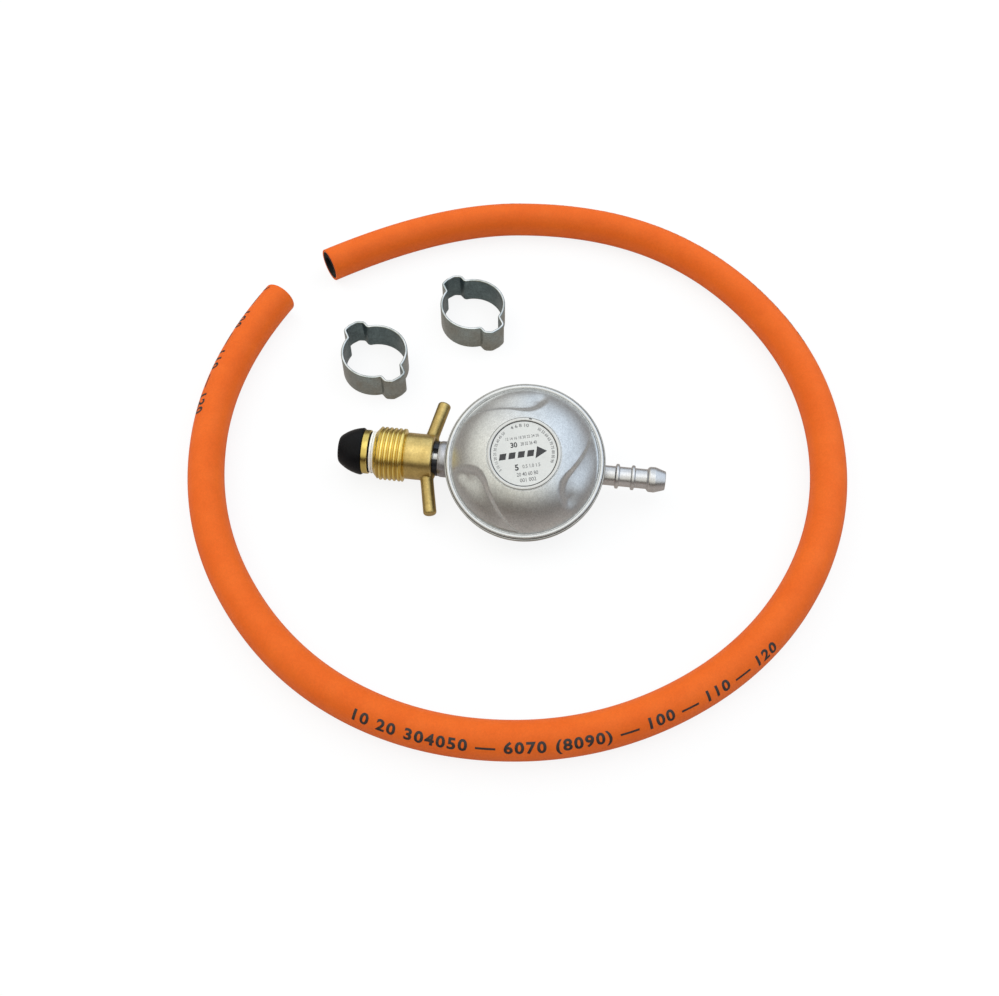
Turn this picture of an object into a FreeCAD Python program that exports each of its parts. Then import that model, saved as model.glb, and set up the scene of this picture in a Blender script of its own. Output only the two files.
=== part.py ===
import FreeCAD, Part
import Sketcher
import math
import os

# A low-pressure gas regulator with a tee nut and a rubber nose, a loose rubber hose
# lying round it in a loop, and two open ear clips.
# The regulator has a frame of its own: X runs along the gas path from the inlet nose
# to the outlet nozzle, Z up through the cover. It is then laid on its conical underside.

# Driving dimensions in millimetres and degrees: name, value, what it is.
SIZES = [
    ("lean", 21.0, "slope of the casting's cone, on which the regulator lies"),
    ("thread_radius", 11.35, "crest radius of the nut's male thread, which rests on the table"),
    ("nub_radius", 3.0, "flat tip of the cone"),
    ("wall", 2.4, "wall of the casting"),
    ("skirt_inset", 2.6, "outside of the casting's skirt, in from the flange's edge"),
    ("floor_radius", 8.0, "flat floor in the middle of the chamber"),
    ("flange_radius", 31.4, "flanges of the casting and the cover, and the diaphragm's edge"),
    ("flange_bottom", 7.3, "underside of the casting's flange above the gas axis"),
    ("flange_depth", 1.6, "thickness of the casting's flange"),
    ("rubber", 0.8, "thickness of the diaphragm"),
    ("cover_flange", 1.0, "thickness of the cover's flange"),
    ("rim_over", 1.1, "outside of the rolled rim, past the flanges"),
    ("rim_wall", 0.9, "thickness of the rolled rim's lips"),
    ("rim_lip", 1.0, "how far the rim's lips reach in over the flanges"),
    ("rim_round", 0.8, "rounding of the rolled rim"),
    ("dome_radius", 38.0, "radius of the cover's dome"),
    ("dome_inset", 1.5, "where the dome meets its flange, in from the flange's edge"),
    ("dome_rise", 0.44, "foot of the dome above the cover's flange"),
    ("cover_wall", 1.6, "wall of the cover"),
    ("label_radius", 14.1, "seat of the label disc"),
    ("label_border", 0.9, "width of the raised ring round the label"),
    ("label_thick", 0.5, "thickness of the label disc"),
    ("label_step", 0.7, "height of the raised ring"),
    ("plug_radius", 8.9, "threaded adjusting plug"),
    ("plug_clearance", 0.1, "gap round the plug and in other plain fits of one body"),
    ("tube_wall", 1.4, "wall of the cover's inner tube"),
    ("plug_height", 3.6, "height of the adjusting plug"),
    ("plug_drop", 0.6, "how far the plug sits under the label"),
    ("socket_flats", 8.0, "across the flats of the plug's socket"),
    ("socket_depth", 1.6, "depth of the plug's socket"),
    ("swirl_depth", 0.9, "depth of the swirls in the dome"),
    ("swirl_hollow", 3.6, "radius of the swirls' hollow"),
    ("plate_inset", 4.6, "edge of the diaphragm plate, in from the middle of the roll"),
    ("plate_thick", 0.8, "thickness of the diaphragm plate"),
    ("plate_edge", 1.5, "height of the plate's turned-up edge"),
    ("roll_inset", 4.3, "middle of the diaphragm's roll, in from the casting's wall"),
    ("roll_radius", 4.0, "radius of the diaphragm's roll"),
    ("roll_drop", 1.6, "the roll's centre below the middle of the rubber"),
    ("spring_radius", 6.6, "mean radius of the main spring"),
    ("spring_wire", 0.7, "wire radius of the main spring"),
    ("spring_turns", 3.5, "turns of the main spring"),
    ("stem_radius", 1.9, "threaded end of the diaphragm stem"),
    ("neck_radius", 1.4, "stem where the lever's fork holds it"),
    ("catch_radius", 2.3, "stem's foot under the fork"),
    ("catch_thick", 0.7, "thickness of the stem's foot"),
    ("catch_height", 5.5, "underside of the stem's foot above the gas axis"),
    ("collar_radius", 3.2, "stem's collar"),
    ("collar_thick", 0.6, "thickness of the stem's collar"),
    ("washer_radius", 7.0, "clamp washer under the diaphragm"),
    ("washer_thick", 0.6, "thickness of the clamp washer"),
    ("stem_nut_flats", 6.0, "across the flats of the stem's nut"),
    ("stem_nut_height", 2.0, "height of the stem's nut"),
    ("stem_end", 0.9, "stem showing above its nut"),
    ("pin_x", 12.0, "lever pin from the middle, towards the outlet"),
    ("pin_z", 6.0, "lever pin above the gas axis"),
    ("pin_radius", 0.9, "lever pin"),
    ("running", 0.06, "radial clearance of what turns or slides"),
    ("hub_radius", 1.6, "lever's hub"),
    ("lever_half", 3.1, "half width of the lever"),
    ("lever_thick", 0.8, "thickness of the lever's long arm"),
    ("lever_low", 6.5, "underside of the fork above the gas axis"),
    ("crank_start", 5.0, "where the long arm bends down to its hub"),
    ("arm_half", 0.8, "half thickness of the short arm's rounded end"),
    ("arm_neck", 0.45, "half thickness of the short arm above its end"),
    ("arm_side", 1.3, "half width of the lever's short arm"),
    ("arm_tip", 0.8, "how far the short arm reaches below the gas axis"),
    ("arm_gap", 0.2, "gap each side of the short arm in the plunger"),
    ("fork_half", 1.7, "half width of the fork's slot"),
    ("fork_reach", 3.2, "how far the fork reaches past the stem"),
    ("fork_root", 4.4, "where the fork's slot starts"),
    ("lug_gap", 0.3, "gap between the lever and each lug"),
    ("lug_thick", 1.8, "thickness of each lug"),
    ("lug_half", 2.2, "half length of each lug"),
    ("lug_top", 1.6, "height of the lugs over the lever pin"),
    ("web_thick", 2.4, "thickness of the web under the guide tube"),
    ("boss_radius", 7.45, "inlet boss outside"),
    ("boss_end", 35.8, "inlet boss end from the middle"),
    ("boss_inner", 19.0, "where the boss narrows to the guide tube inside"),
    ("web_back", 15.0, "end of the web under the guide tube towards the inlet"),
    ("guide_radius", 4.2, "guide tube inside the chamber"),
    ("guide_end", 8.5, "end of the guide tube towards the outlet"),
    ("plunger_radius", 2.9, "valve plunger"),
    ("plunger_end", 14.4, "tail end of the plunger"),
    ("plunger_front", 4.4, "front of the plunger and its pad"),
    ("pad_radius", 2.2, "rubber valve pad"),
    ("pad_thick", 1.4, "thickness of the valve pad"),
    ("jet_radius", 2.5, "jet body"),
    ("jet_end", 3.1, "where the jet's body ends"),
    ("jet_tip", 0.5, "height of the jet's seat above its body"),
    ("jet_seat", 1.3, "radius of the jet's seat"),
    ("jet_hole", 0.7, "radius of the jet's hole"),
    ("jet_length", 6.0, "length of the jet's body"),
    ("vent_radius", 0.9, "gas hole in the guide tube"),
    ("spigot_thread", 5.2, "threaded end of the inlet spigot"),
    ("spigot_depth", 10.2, "how far the spigot screws into the boss"),
    ("spigot_radius", 5.4, "spigot where the nut turns on it"),
    ("spigot_bore", 2.4, "gas bore of the spigot"),
    ("ring_section", 1.5, "side of the sealing ring's square section"),
    ("groove_radius", 4.5, "spigot under the retaining clip"),
    ("clip_width", 1.9, "width of the retaining clip"),
    ("clip_radius", 7.2, "outside of the retaining clip"),
    ("clip_opening", 38.0, "angle of the retaining clip's opening"),
    ("clip_turn", 88.0, "where the opening points, round the inlet"),
    ("nut_play", 0.3, "end play of the nut, each side"),
    ("nut_length", 24.8, "length of the tee nut"),
    ("hub_length", 10.0, "plain part of the nut"),
    ("hub_outer", 9.6, "radius of the plain part of the nut"),
    ("thread_run", 10.1, "full thread on the nut"),
    ("lead_in", 2.1, "length of the thread's lead-in"),
    ("lead_radius", 8.8, "radius of the nut's front face"),
    ("wing_reach", 25.0, "tips of the nut's wings from its axis"),
    ("wing_root", 2.75, "radius of a wing at the hub"),
    ("wing_tip", 2.35, "radius of a wing at its tip"),
    ("wing_sweep", 12.5, "how far the wings sweep towards the regulator"),
    ("wing_inset", 3.6, "middle of a wing's root from the nut's back"),
    ("wing_sink", 1.2, "how deep a wing is rooted in the hub"),
    ("wing_round", 1.6, "rounding of the wings' ends"),
    ("wing_turn", -6.0, "how the wings stand at rest"),
    ("washer_face", 1.4, "thickness of the white thrust washer"),
    ("washer_outer", 8.7, "radius of the white thrust washer"),
    ("collar_outer", 9.1, "radius of the spigot's brass collar"),
    ("collar_length", 1.8, "length of the spigot's brass collar"),
    ("pilot_radius", 4.4, "spigot inside the rubber nose"),
    ("nose_length", 11.4, "length of the rubber nose"),
    ("nose_front", 5.7, "radius of the nose's front face"),
    ("nose_radius", 9.75, "widest radius of the nose"),
    ("nose_curve", 15.0, "radius of the nose's side"),
    ("nose_lip", 1.0, "rubber in front of the spigot"),
    ("filter_length", 7.0, "length of the gauze filter"),
    ("filter_wall", 0.35, "wall of the gauze filter"),
    ("stem_outer", 3.92, "radius of the outlet nozzle's stem"),
    ("nozzle_bore", 2.6, "gas bore of the outlet nozzle"),
    ("nozzle_start", 20.0, "where the nozzle starts inside the casting"),
    ("nozzle_end", 57.3, "end of the outlet nozzle"),
    ("ridge_first", 38.0, "first ridge of the nozzle"),
    ("ridge_pitch", 6.4, "from the first ridge to the second"),
    ("ridge_radius", 5.0, "crest radius of the ridges"),
    ("ridge_foot", 0.8, "half width of a ridge at its foot"),
    ("ridge_crest", 0.25, "half width of a ridge at its crest"),
    ("barb_start", 50.0, "shoulder of the barb"),
    ("barb_rise", 1.0, "length of the barb's back slope"),
    ("barb_land", 2.0, "length of the barb's crest"),
    ("barb_radius", 5.15, "crest radius of the barb"),
    ("nozzle_tip", 3.65, "radius of the nozzle at its end"),
    ("hose_radius", 7.5, "outside radius of the hose"),
    ("liner_radius", 6.3, "outside radius of the hose's black lining"),
    ("hose_bore", 4.0, "bore radius of the hose"),
    ("clip_bore", 13.8, "inside radius of an ear clip"),
    ("clip_strip", 1.2, "thickness of an ear clip's strip"),
    ("clip_band", 11.3, "width of an ear clip's strip"),
    ("ear_foot_x", 12.9, "feet of an ear from the clip's middle"),
    ("ear_foot_y", 5.0, "half of the gap between an ear's feet"),
    ("ear_rise", 4.4, "height of an ear's corners over its feet"),
    ("ear_shoulder", 3.4, "height of an ear's shoulders over its feet"),
    ("ear_crown", 3.6, "half width of an ear's crown"),
    ("ear_bulge", 0.7, "middle of an ear's crown over its corners"),
    ("regulator_x", 3.3, "regulator's middle from the middle of the loop"),
    ("regulator_y", -14.1, "regulator's middle from the middle of the loop"),
    ("regulator_yaw", -6.8, "turn of the regulator on the table"),
]

# One swirl of the dome, from its hook to its tail: degrees round the middle, distance
# from the middle as a share of the dome's foot, and depth as a share of the full depth.
SWIRL = [
    (1, 0.90, -0.2), (3, 0.82, 0.6), (8, 0.74, 1.0), (16, 0.69, 1.0), (26, 0.69, 1.0),
    (36, 0.73, 0.85), (47, 0.80, 0.55), (57, 0.88, 0.2), (63, 0.93, -0.2),
]
SWIRL_STARTS = [-43.5, 76.5, 196.5]

# Ear clips on the table: middle of each clip, and the direction of its ears.
CLIP_PLACES = [(-62.0, 46.7), (-19.3, 74.0)]
EAR_DIRECTION = 124.5

# The hose's route on the table, in millimetres, from the end by the clips clockwise
# round to the other end. The hose shows from end to end and is about 0.8 m long.
ROUTE = [
    (-86.0, 102.0), (-36.5, 131.5), (39.5, 131.5), (94.0, 100.0), (129.5, 39.0),
    (129.5, -34.5), (94.0, -96.0), (32.5, -131.5), (-36.5, -131.5), (-93.0, -99.0),
    (-129.5, -35.5), (-129.5, 42.5), (-107.0, 82.5),
]
BEND_SHARE = 0.45  # share of the shorter run that each bend takes


class Size:
    """A length that carries its value and its formula in the spreadsheet's names."""

    def __init__(self, value, formula):
        self.value = value
        self.formula = formula

    def __add__(self, other):
        other = sized(other)
        return Size(self.value + other.value, f"({self.formula} + {other.formula})")

    def __sub__(self, other):
        other = sized(other)
        return Size(self.value - other.value, f"({self.formula} - {other.formula})")

    def __mul__(self, other):
        other = sized(other)
        return Size(self.value * other.value, f"({self.formula} * {other.formula})")

    def __truediv__(self, other):
        other = sized(other)
        return Size(self.value / other.value, f"({self.formula} / {other.formula})")

    def __radd__(self, other):
        return sized(other) + self

    def __rsub__(self, other):
        return sized(other) - self

    def __rmul__(self, other):
        return sized(other) * self

    def __neg__(self):
        return Size(-self.value, f"(0 - {self.formula})")


def sized(number):
    if isinstance(number, Size):
        return number
    return Size(float(number), f"({float(number)})")


def tangent(angle):
    return Size(math.tan(math.radians(angle.value)), f"tan({angle.formula} * 1 deg)")


def cosine(angle):
    return Size(math.cos(math.radians(angle.value)), f"cos({angle.formula} * 1 deg)")


def sine(angle):
    return Size(math.sin(math.radians(angle.value)), f"sin({angle.formula} * 1 deg)")


def root(square):
    return Size(math.sqrt(square.value), f"sqrt({square.formula})")


def bind(thing, path, value):
    """Set a property by the spreadsheet's formula."""
    thing.setExpression(path, sized(value).formula)


document = FreeCAD.newDocument("regulator_hose")
sheet = document.addObject("Spreadsheet::Sheet", "sheet")
size = {}
for line, (name, value, note) in enumerate(SIZES, start=1):
    sheet.set(f"A{line}", name)
    sheet.set(f"B{line}", str(value))
    sheet.set(f"C{line}", note)
    sheet.setAlias(f"B{line}", name)
    size[name] = Size(value, f"sheet.{name}")
document.recompute()

# Places in the regulator's own frame that several pieces share.
skirt_radius = size["flange_radius"] - size["skirt_inset"]
chamber_radius = skirt_radius - size["wall"]
rim_edge = size["flange_radius"] + size["rim_over"]
dome_foot = size["flange_radius"] - size["dome_inset"]
roll_place = chamber_radius - size["roll_inset"]
plate_radius = roll_place - size["plate_inset"]
label_ring = size["label_radius"] + size["label_border"]
flange_top = size["flange_bottom"] + size["flange_depth"]
rubber_top = flange_top + size["rubber"]
cover_seat = rubber_top + size["cover_flange"]
plate_top = rubber_top + size["plate_thick"]
dome_centre = cover_seat + size["dome_rise"] - root(
    size["dome_radius"] * size["dome_radius"] - dome_foot * dome_foot
)
label_seat = dome_centre + root(
    size["dome_radius"] * size["dome_radius"] - label_ring * label_ring
)
plug_top = label_seat - size["plug_drop"]
plug_bottom = plug_top - size["plug_height"]
spring_seat = plug_bottom + 0.7
collar_top = flange_top - size["washer_thick"]
clip_front = -(size["boss_end"] + size["clip_width"] + size["plug_clearance"])
nut_back = clip_front - size["nut_play"]
nut_front = nut_back - size["nut_length"]
washer_back = nut_front - size["nut_play"]
collar_back = washer_back - size["washer_face"]
collar_front = collar_back - size["collar_length"]
nose_end = collar_front - size["nose_length"]
spigot_end = size["spigot_depth"] - size["boss_end"]


def cone_at(radius):
    """Height of the casting's conical underside, which lies along the table."""
    apex = size["thread_radius"] / cosine(size["lean"])
    return radius * tangent(size["lean"]) - apex


SEAT = FreeCAD.Placement(
    FreeCAD.Vector(
        size["regulator_x"].value, size["regulator_y"].value, size["thread_radius"].value
    ),
    FreeCAD.Rotation(FreeCAD.Vector(0, 0, 1), size["regulator_yaw"].value)
    * FreeCAD.Rotation(FreeCAD.Vector(1, 0, 0), size["lean"].value),
)
nodes = []


def new_body(label, placement=SEAT):
    body = document.addObject("PartDesign::Body", label)
    body.Label = label
    body.Placement = placement
    nodes.append(body)
    return body


def origin_plane(body, role):
    return [f for f in body.Origin.OriginFeatures if f.Role == role][0]


def arc_between(start, end, radius):
    """A short arc; a positive radius turns left from start to end."""
    chord = end - start
    side = FreeCAD.Vector(-chord.y, chord.x, 0).normalize()
    away = math.sqrt(radius * radius - chord.Length * chord.Length / 4)
    centre = (start + end) / 2 + side * (away if radius > 0 else -away)
    first, last = (start, end) if radius > 0 else (end, start)
    angles = [math.atan2(p.y - centre.y, p.x - centre.x) for p in (first, last)]
    if angles[1] < angles[0]:
        angles[1] += 2 * math.pi
    circle = Part.Circle(centre, FreeCAD.Vector(0, 0, 1), abs(radius))
    return Part.ArcOfCircle(circle, *angles)


def outline(body, name, role, corners):
    """A closed sketch. A corner is (x, y), or (x, y, radius) before an arc."""
    sketch = body.newObject("Sketcher::SketchObject", name)
    sketch.AttachmentSupport = [(origin_plane(body, role), "")]
    sketch.MapMode = "FlatFace"
    places = [FreeCAD.Vector(sized(c[0]).value, sized(c[1]).value, 0) for c in corners]
    ends = []
    for i, corner in enumerate(corners):
        start, end = places[i], places[(i + 1) % len(corners)]
        if len(corner) == 3:
            edge = sketch.addGeometry(arc_between(start, end, sized(corner[2]).value))
            ends.append((1, 2) if sized(corner[2]).value > 0 else (2, 1))
        else:
            edge = sketch.addGeometry(Part.LineSegment(start, end))
            ends.append((1, 2))
    for i in range(len(corners)):
        j = (i + 1) % len(corners)
        sketch.addConstraint(
            Sketcher.Constraint("Coincident", i, ends[i][1], j, ends[j][0])
        )
    for i, corner in enumerate(corners):
        for kind, value in (("DistanceX", corner[0]), ("DistanceY", corner[1])):
            value = sized(value)
            index = sketch.addConstraint(
                Sketcher.Constraint(kind, -1, 1, i, ends[i][0], value.value)
            )
            if "sheet." in value.formula:
                bind(sketch, f"Constraints[{index}]", value)
        if len(corner) == 3:
            radius = sized(corner[2])
            index = sketch.addConstraint(
                Sketcher.Constraint("Radius", i, abs(radius.value))
            )
            if "sheet." in radius.formula:
                bind(sketch, f"Constraints[{index}]", radius if radius.value > 0 else -radius)
    return sketch


def spin(body, name, corners, axis="V_Axis", kind="Revolution", angle=360):
    """Revolve a section drawn on the XZ plane, to add or to take away."""
    feature = body.newObject(f"PartDesign::{kind}", name)
    feature.Profile = outline(body, f"{name}_section", "XZ_Plane", corners)
    feature.ReferenceAxis = (feature.Profile[0], [axis])
    feature.Angle = sized(angle).value
    if "sheet." in sized(angle).formula:
        bind(feature, "Angle", angle)
    return feature


def block(body, name, role, corners, width, kind="Pad"):
    """Pad or pocket a section by a width that is centred on its plane."""
    feature = body.newObject(f"PartDesign::{kind}", name)
    feature.Profile = outline(body, f"{name}_section", role, corners)
    feature.Midplane = True
    feature.Length = sized(width).value
    bind(feature, "Length", width)
    return feature


def hexagon(flats):
    """Corners of a hexagon with the given distance across its flats."""
    half = flats / 2
    reach = half / cosine(sized(30))
    return [
        (reach, 0), (reach / 2, half), (-reach / 2, half),
        (-reach, 0), (-reach / 2, -half), (reach / 2, -half),
    ]


def rectangle(x0, x1, y0, y1):
    return [(x0, y0), (x1, y0), (x1, y1), (x0, y1)]


def make_casting():
    """Pan of the regulator, with the inlet boss, guide tube, lever lugs and nozzle."""
    body = new_body("body_casting")
    skirt, chamber = skirt_radius, chamber_radius
    inner = size["wall"] / cosine(size["lean"])
    spin(body, "pan", [
        (0, cone_at(size["nub_radius"])),
        (size["nub_radius"], cone_at(size["nub_radius"])),
        (skirt, cone_at(skirt)),
        (skirt, size["flange_bottom"]),
        (size["flange_radius"], size["flange_bottom"]),
        (size["flange_radius"], flange_top),
        (chamber, flange_top),
        (chamber, cone_at(chamber) + inner),
        (size["floor_radius"], cone_at(size["floor_radius"]) + inner),
        (0, cone_at(size["floor_radius"]) + inner),
    ])
    spin(body, "inlet_boss", [
        (-size["boss_end"], 0),
        (-size["boss_end"], size["boss_radius"] - 0.5),
        (0.5 - size["boss_end"], size["boss_radius"]),
        (-size["boss_inner"], size["boss_radius"]),
        (-size["boss_inner"], size["guide_radius"]),
        (size["guide_end"], size["guide_radius"]),
        (size["guide_end"], 0),
    ], "H_Axis")
    stem = size["stem_outer"]
    corners = [(size["nozzle_start"], 0), (size["nozzle_start"], stem)]
    for number in (0, 1):
        middle = size["ridge_first"] + number * size["ridge_pitch"]
        corners += [
            (middle - size["ridge_foot"], stem),
            (middle - size["ridge_crest"], size["ridge_radius"]),
            (middle + size["ridge_crest"], size["ridge_radius"]),
            (middle + size["ridge_foot"], stem),
        ]
    crest = size["barb_start"] + size["barb_rise"]
    corners += [
        (size["barb_start"], stem),
        (crest, size["barb_radius"]),
        (crest + size["barb_land"], size["barb_radius"]),
        (size["nozzle_end"] - 0.4, size["nozzle_tip"] + 0.2),
        (size["nozzle_end"], size["nozzle_tip"] - 0.2),
        (size["nozzle_end"], 0),
    ]
    spin(body, "nozzle", corners, "H_Axis")
    lug_width = 2 * (size["lever_half"] + size["lug_gap"] + size["lug_thick"])
    left = size["pin_x"] - size["lug_half"]
    right = size["pin_x"] + size["lug_half"]
    lug_foot = cone_at(left) + inner - 0.6
    block(body, "lugs", "XZ_Plane",
          rectangle(left, right, lug_foot, size["pin_z"] + size["lug_top"]), lug_width)
    web_start, web_end = size["web_back"], size["guide_end"] - 1
    web_foot = cone_at(size["floor_radius"]) + inner - 1
    block(body, "web", "XZ_Plane", [
        (-web_start, cone_at(web_start) + inner - 1),
        (-size["floor_radius"], web_foot),
        (web_end, web_foot),
        (web_end, 0.8 - size["guide_radius"]),
        (-web_start, 0.8 - size["guide_radius"]),
    ], size["web_thick"])
    lip = size["flange_radius"] - size["rim_lip"] - size["plug_clearance"]
    relief = size["flange_bottom"] - size["rim_wall"] - size["plug_clearance"]
    spin(body, "rim_relief", [
        (lip, relief),
        (rim_edge + size["plug_clearance"], relief),
        (rim_edge + size["plug_clearance"], flange_top),
        (size["flange_radius"], flange_top),
        (size["flange_radius"], size["flange_bottom"]),
        (lip, size["flange_bottom"]),
    ], "V_Axis", "Groove")
    block(body, "lug_space", "XZ_Plane",
          rectangle(left - 0.1, right + 0.1, cone_at(right) + inner + 0.4,
                    size["pin_z"] + 2), 2 * (size["lever_half"] + size["lug_gap"]),
          "Pocket")
    hole = size["pin_radius"] + size["running"]
    drill(body, "pin_hole", "XZ_Plane", size["pin_x"], size["pin_z"], hole, lug_width + 1)
    bore = size["spigot_thread"] + size["plug_clearance"] / 2
    mouth = size["spigot_thread"] + size["ring_section"] + size["plug_clearance"]
    jet_back = size["jet_end"] - size["jet_length"]
    spin(body, "gas_way", [
        (-size["boss_end"] - 1, 0),
        (-size["boss_end"] - 1, mouth),
        (size["ring_section"] - size["boss_end"], mouth),
        (size["ring_section"] - size["boss_end"], bore),
        (spigot_end + 0.5, bore),
        (spigot_end + 0.5, size["spigot_bore"]),
        (jet_back, size["spigot_bore"]),
        (jet_back, size["jet_radius"] + size["plug_clearance"] / 2),
        (size["jet_end"], size["jet_radius"] + size["plug_clearance"] / 2),
        (size["jet_end"], size["plunger_radius"] + size["running"]),
        (size["guide_end"] + 1, size["plunger_radius"] + size["running"]),
        (size["guide_end"] + 1, 0),
    ], "H_Axis", "Groove")
    spin(body, "outlet_bore",
         [(size["nozzle_start"] - 1, 0), (size["nozzle_start"] - 1, size["nozzle_bore"]),
          (size["nozzle_end"] + 1, size["nozzle_bore"]), (size["nozzle_end"] + 1, 0)],
         "H_Axis", "Groove")
    drill(body, "gas_hole", "XZ_Plane", size["jet_end"] + 1.3, sized(0),
          size["vent_radius"], 2 * size["guide_radius"] + 1)


def drill(body, name, role, x, y, radius, width):
    """A round hole centred on a plane of the body."""
    feature = body.newObject("PartDesign::Pocket", name)
    sketch = body.newObject("Sketcher::SketchObject", f"{name}_circle")
    sketch.AttachmentSupport = [(origin_plane(body, role), "")]
    sketch.MapMode = "FlatFace"
    centre = FreeCAD.Vector(x.value, y.value, 0)
    sketch.addGeometry(Part.Circle(centre, FreeCAD.Vector(0, 0, 1), radius.value))
    for kind, value in (("DistanceX", x), ("DistanceY", y)):
        index = sketch.addConstraint(Sketcher.Constraint(kind, -1, 1, 0, 3, value.value))
        bind(sketch, f"Constraints[{index}]", value)
    index = sketch.addConstraint(Sketcher.Constraint("Radius", 0, radius.value))
    bind(sketch, f"Constraints[{index}]", radius)
    feature.Profile = sketch
    feature.Midplane = True
    feature.Length = sized(width).value
    bind(feature, "Length", width)
    return feature


def make_cover():
    """Domed cover with its label seat, inner tube and three swirls."""
    body = new_body("bonnet_blank", FreeCAD.Placement())
    outer, inner = size["dome_radius"], size["dome_radius"] - size["cover_wall"]
    foot = dome_foot
    ring, wall = label_ring, size["cover_wall"]
    tube = size["plug_radius"] + size["plug_clearance"] / 2
    tube_outer = tube + size["tube_wall"]
    tube_foot = plug_bottom - 0.6

    def dome(radius, sphere):
        return dome_centre + root(sphere * sphere - radius * radius)

    foot_inner = foot - wall
    spin(body, "dome", [
        (foot_inner, rubber_top),
        (size["flange_radius"], rubber_top),
        (size["flange_radius"], cover_seat),
        (foot, cover_seat),
        (foot, dome(foot, outer), outer),
        (ring, label_seat),
        (ring, label_seat + size["label_step"]),
        (size["label_radius"], label_seat + size["label_step"]),
        (size["label_radius"], label_seat),
        (tube, label_seat),
        (tube, tube_foot),
        (tube_outer, tube_foot),
        (tube_outer, dome(ring, inner)),
        (ring, dome(ring, inner), -inner),
        (foot_inner, dome(foot_inner, inner)),
    ])
    hollows = [swirl(number, start) for number, start in enumerate(SWIRL_STARTS, start=1)]
    swirls = document.addObject("Part::Compound", "swirls")
    swirls.Links = hollows
    cover = document.addObject("Part::Cut", "bonnet")
    cover.Base = body
    cover.Tool = swirls
    cover.Placement = SEAT
    nodes[nodes.index(body)] = cover


def swirl(number, start):
    """The round hollow of one swirl, which sinks into the dome and rises out of it."""
    dome, hollow = size["dome_radius"].value, size["swirl_hollow"].value
    middle = FreeCAD.Vector(0, 0, dome_centre.value)
    places = []
    for angle, reach, depth in SWIRL:
        radius = reach * dome_foot.value
        turn = math.radians(start + angle)
        out = FreeCAD.Vector(
            radius * math.cos(turn), radius * math.sin(turn), math.sqrt(dome ** 2 - radius ** 2)
        )
        away = dome + hollow - depth * size["swirl_depth"].value
        places.append(middle + out.normalize() * away)
    line = Part.BSplineCurve()
    line.interpolate(places)
    first, way = line.value(line.FirstParameter), line.tangent(line.FirstParameter)[0]
    circle = Part.Wire([Part.makeCircle(hollow, first, way)])
    tool = document.addObject("Part::Feature", f"swirl_{number}")
    tool.Shape = Part.Wire([line.toShape()]).makePipeShell([circle], True, False)
    return tool


def make_rim():
    """Ring rolled over the flanges of the casting and the cover."""
    body = new_body("crimp_rim")
    bottom, top = size["flange_bottom"] - size["rim_wall"], cover_seat + size["rim_wall"]
    lip, edge = size["flange_radius"] - size["rim_lip"], rim_edge
    inner, turn = size["flange_radius"] + size["plug_clearance"] / 2, size["rim_round"]
    spin(body, "roll", [
        (lip, bottom),
        (edge - turn, bottom, turn),
        (edge, bottom + turn),
        (edge, top - turn, turn),
        (edge - turn, top),
        (lip, top),
        (lip, cover_seat),
        (inner, cover_seat),
        (inner, size["flange_bottom"]),
        (lip, size["flange_bottom"]),
    ])


def make_label():
    body = new_body("label_plate")
    radius, top = size["label_radius"] - size["plug_clearance"], label_seat + size["label_thick"]
    spin(body, "disc", [
        (0, label_seat), (radius, label_seat), (radius, top - 0.15), (radius - 0.15, top), (0, top),
    ])


def make_plug():
    """Threaded plug that sets the spring, with a hexagon socket."""
    body = new_body("adjuster_plug")
    radius = size["plug_radius"]
    guide = size["spring_radius"] + size["spring_wire"] + 0.3
    spin(body, "disc", [
        (0, spring_seat), (guide, spring_seat), (guide, plug_bottom), (radius, plug_bottom),
        (radius, plug_top), (0, plug_top),
    ])
    socket = body.newObject("PartDesign::Pocket", "socket")
    socket.Profile = outline(body, "socket_hexagon", "XY_Plane", hexagon(size["socket_flats"]))
    bind(socket.Profile[0], "AttachmentOffset.Base.z", plug_top)
    socket.Length = size["socket_depth"].value
    bind(socket, "Length", size["socket_depth"])


def make_spring():
    """Main spring: a helix of half-turn arcs with the wire's circle swept along it."""
    radius, wire = size["spring_radius"].value, size["spring_wire"].value
    low = plate_top.value + wire + 0.05
    high = spring_seat.value - wire - 0.05
    steps = int(round(size["spring_turns"].value * 4))

    def on_helix(share):
        angle = share * size["spring_turns"].value * 2 * math.pi
        return FreeCAD.Vector(
            radius * math.cos(angle), radius * math.sin(angle), low + share * (high - low)
        )

    arcs = [
        Part.Arc(on_helix(i / steps), on_helix((i + 0.5) / steps), on_helix((i + 1) / steps))
        for i in range(steps)
    ]
    path = Part.Wire([arc.toShape() for arc in arcs])
    start = arcs[0].tangent(arcs[0].FirstParameter)[0]
    circle = Part.Wire([Part.makeCircle(wire, on_helix(0), start)])
    spring = document.addObject("Part::Feature", "main_spring")
    spring.Shape = path.makePipeShell([circle], True, False)
    spring.Placement = SEAT
    nodes.append(spring)
    pitch = (high - low) / size["spring_turns"].value
    print(f"main_spring: least gap between turns {pitch - 2 * wire:.2f} mm")


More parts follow.
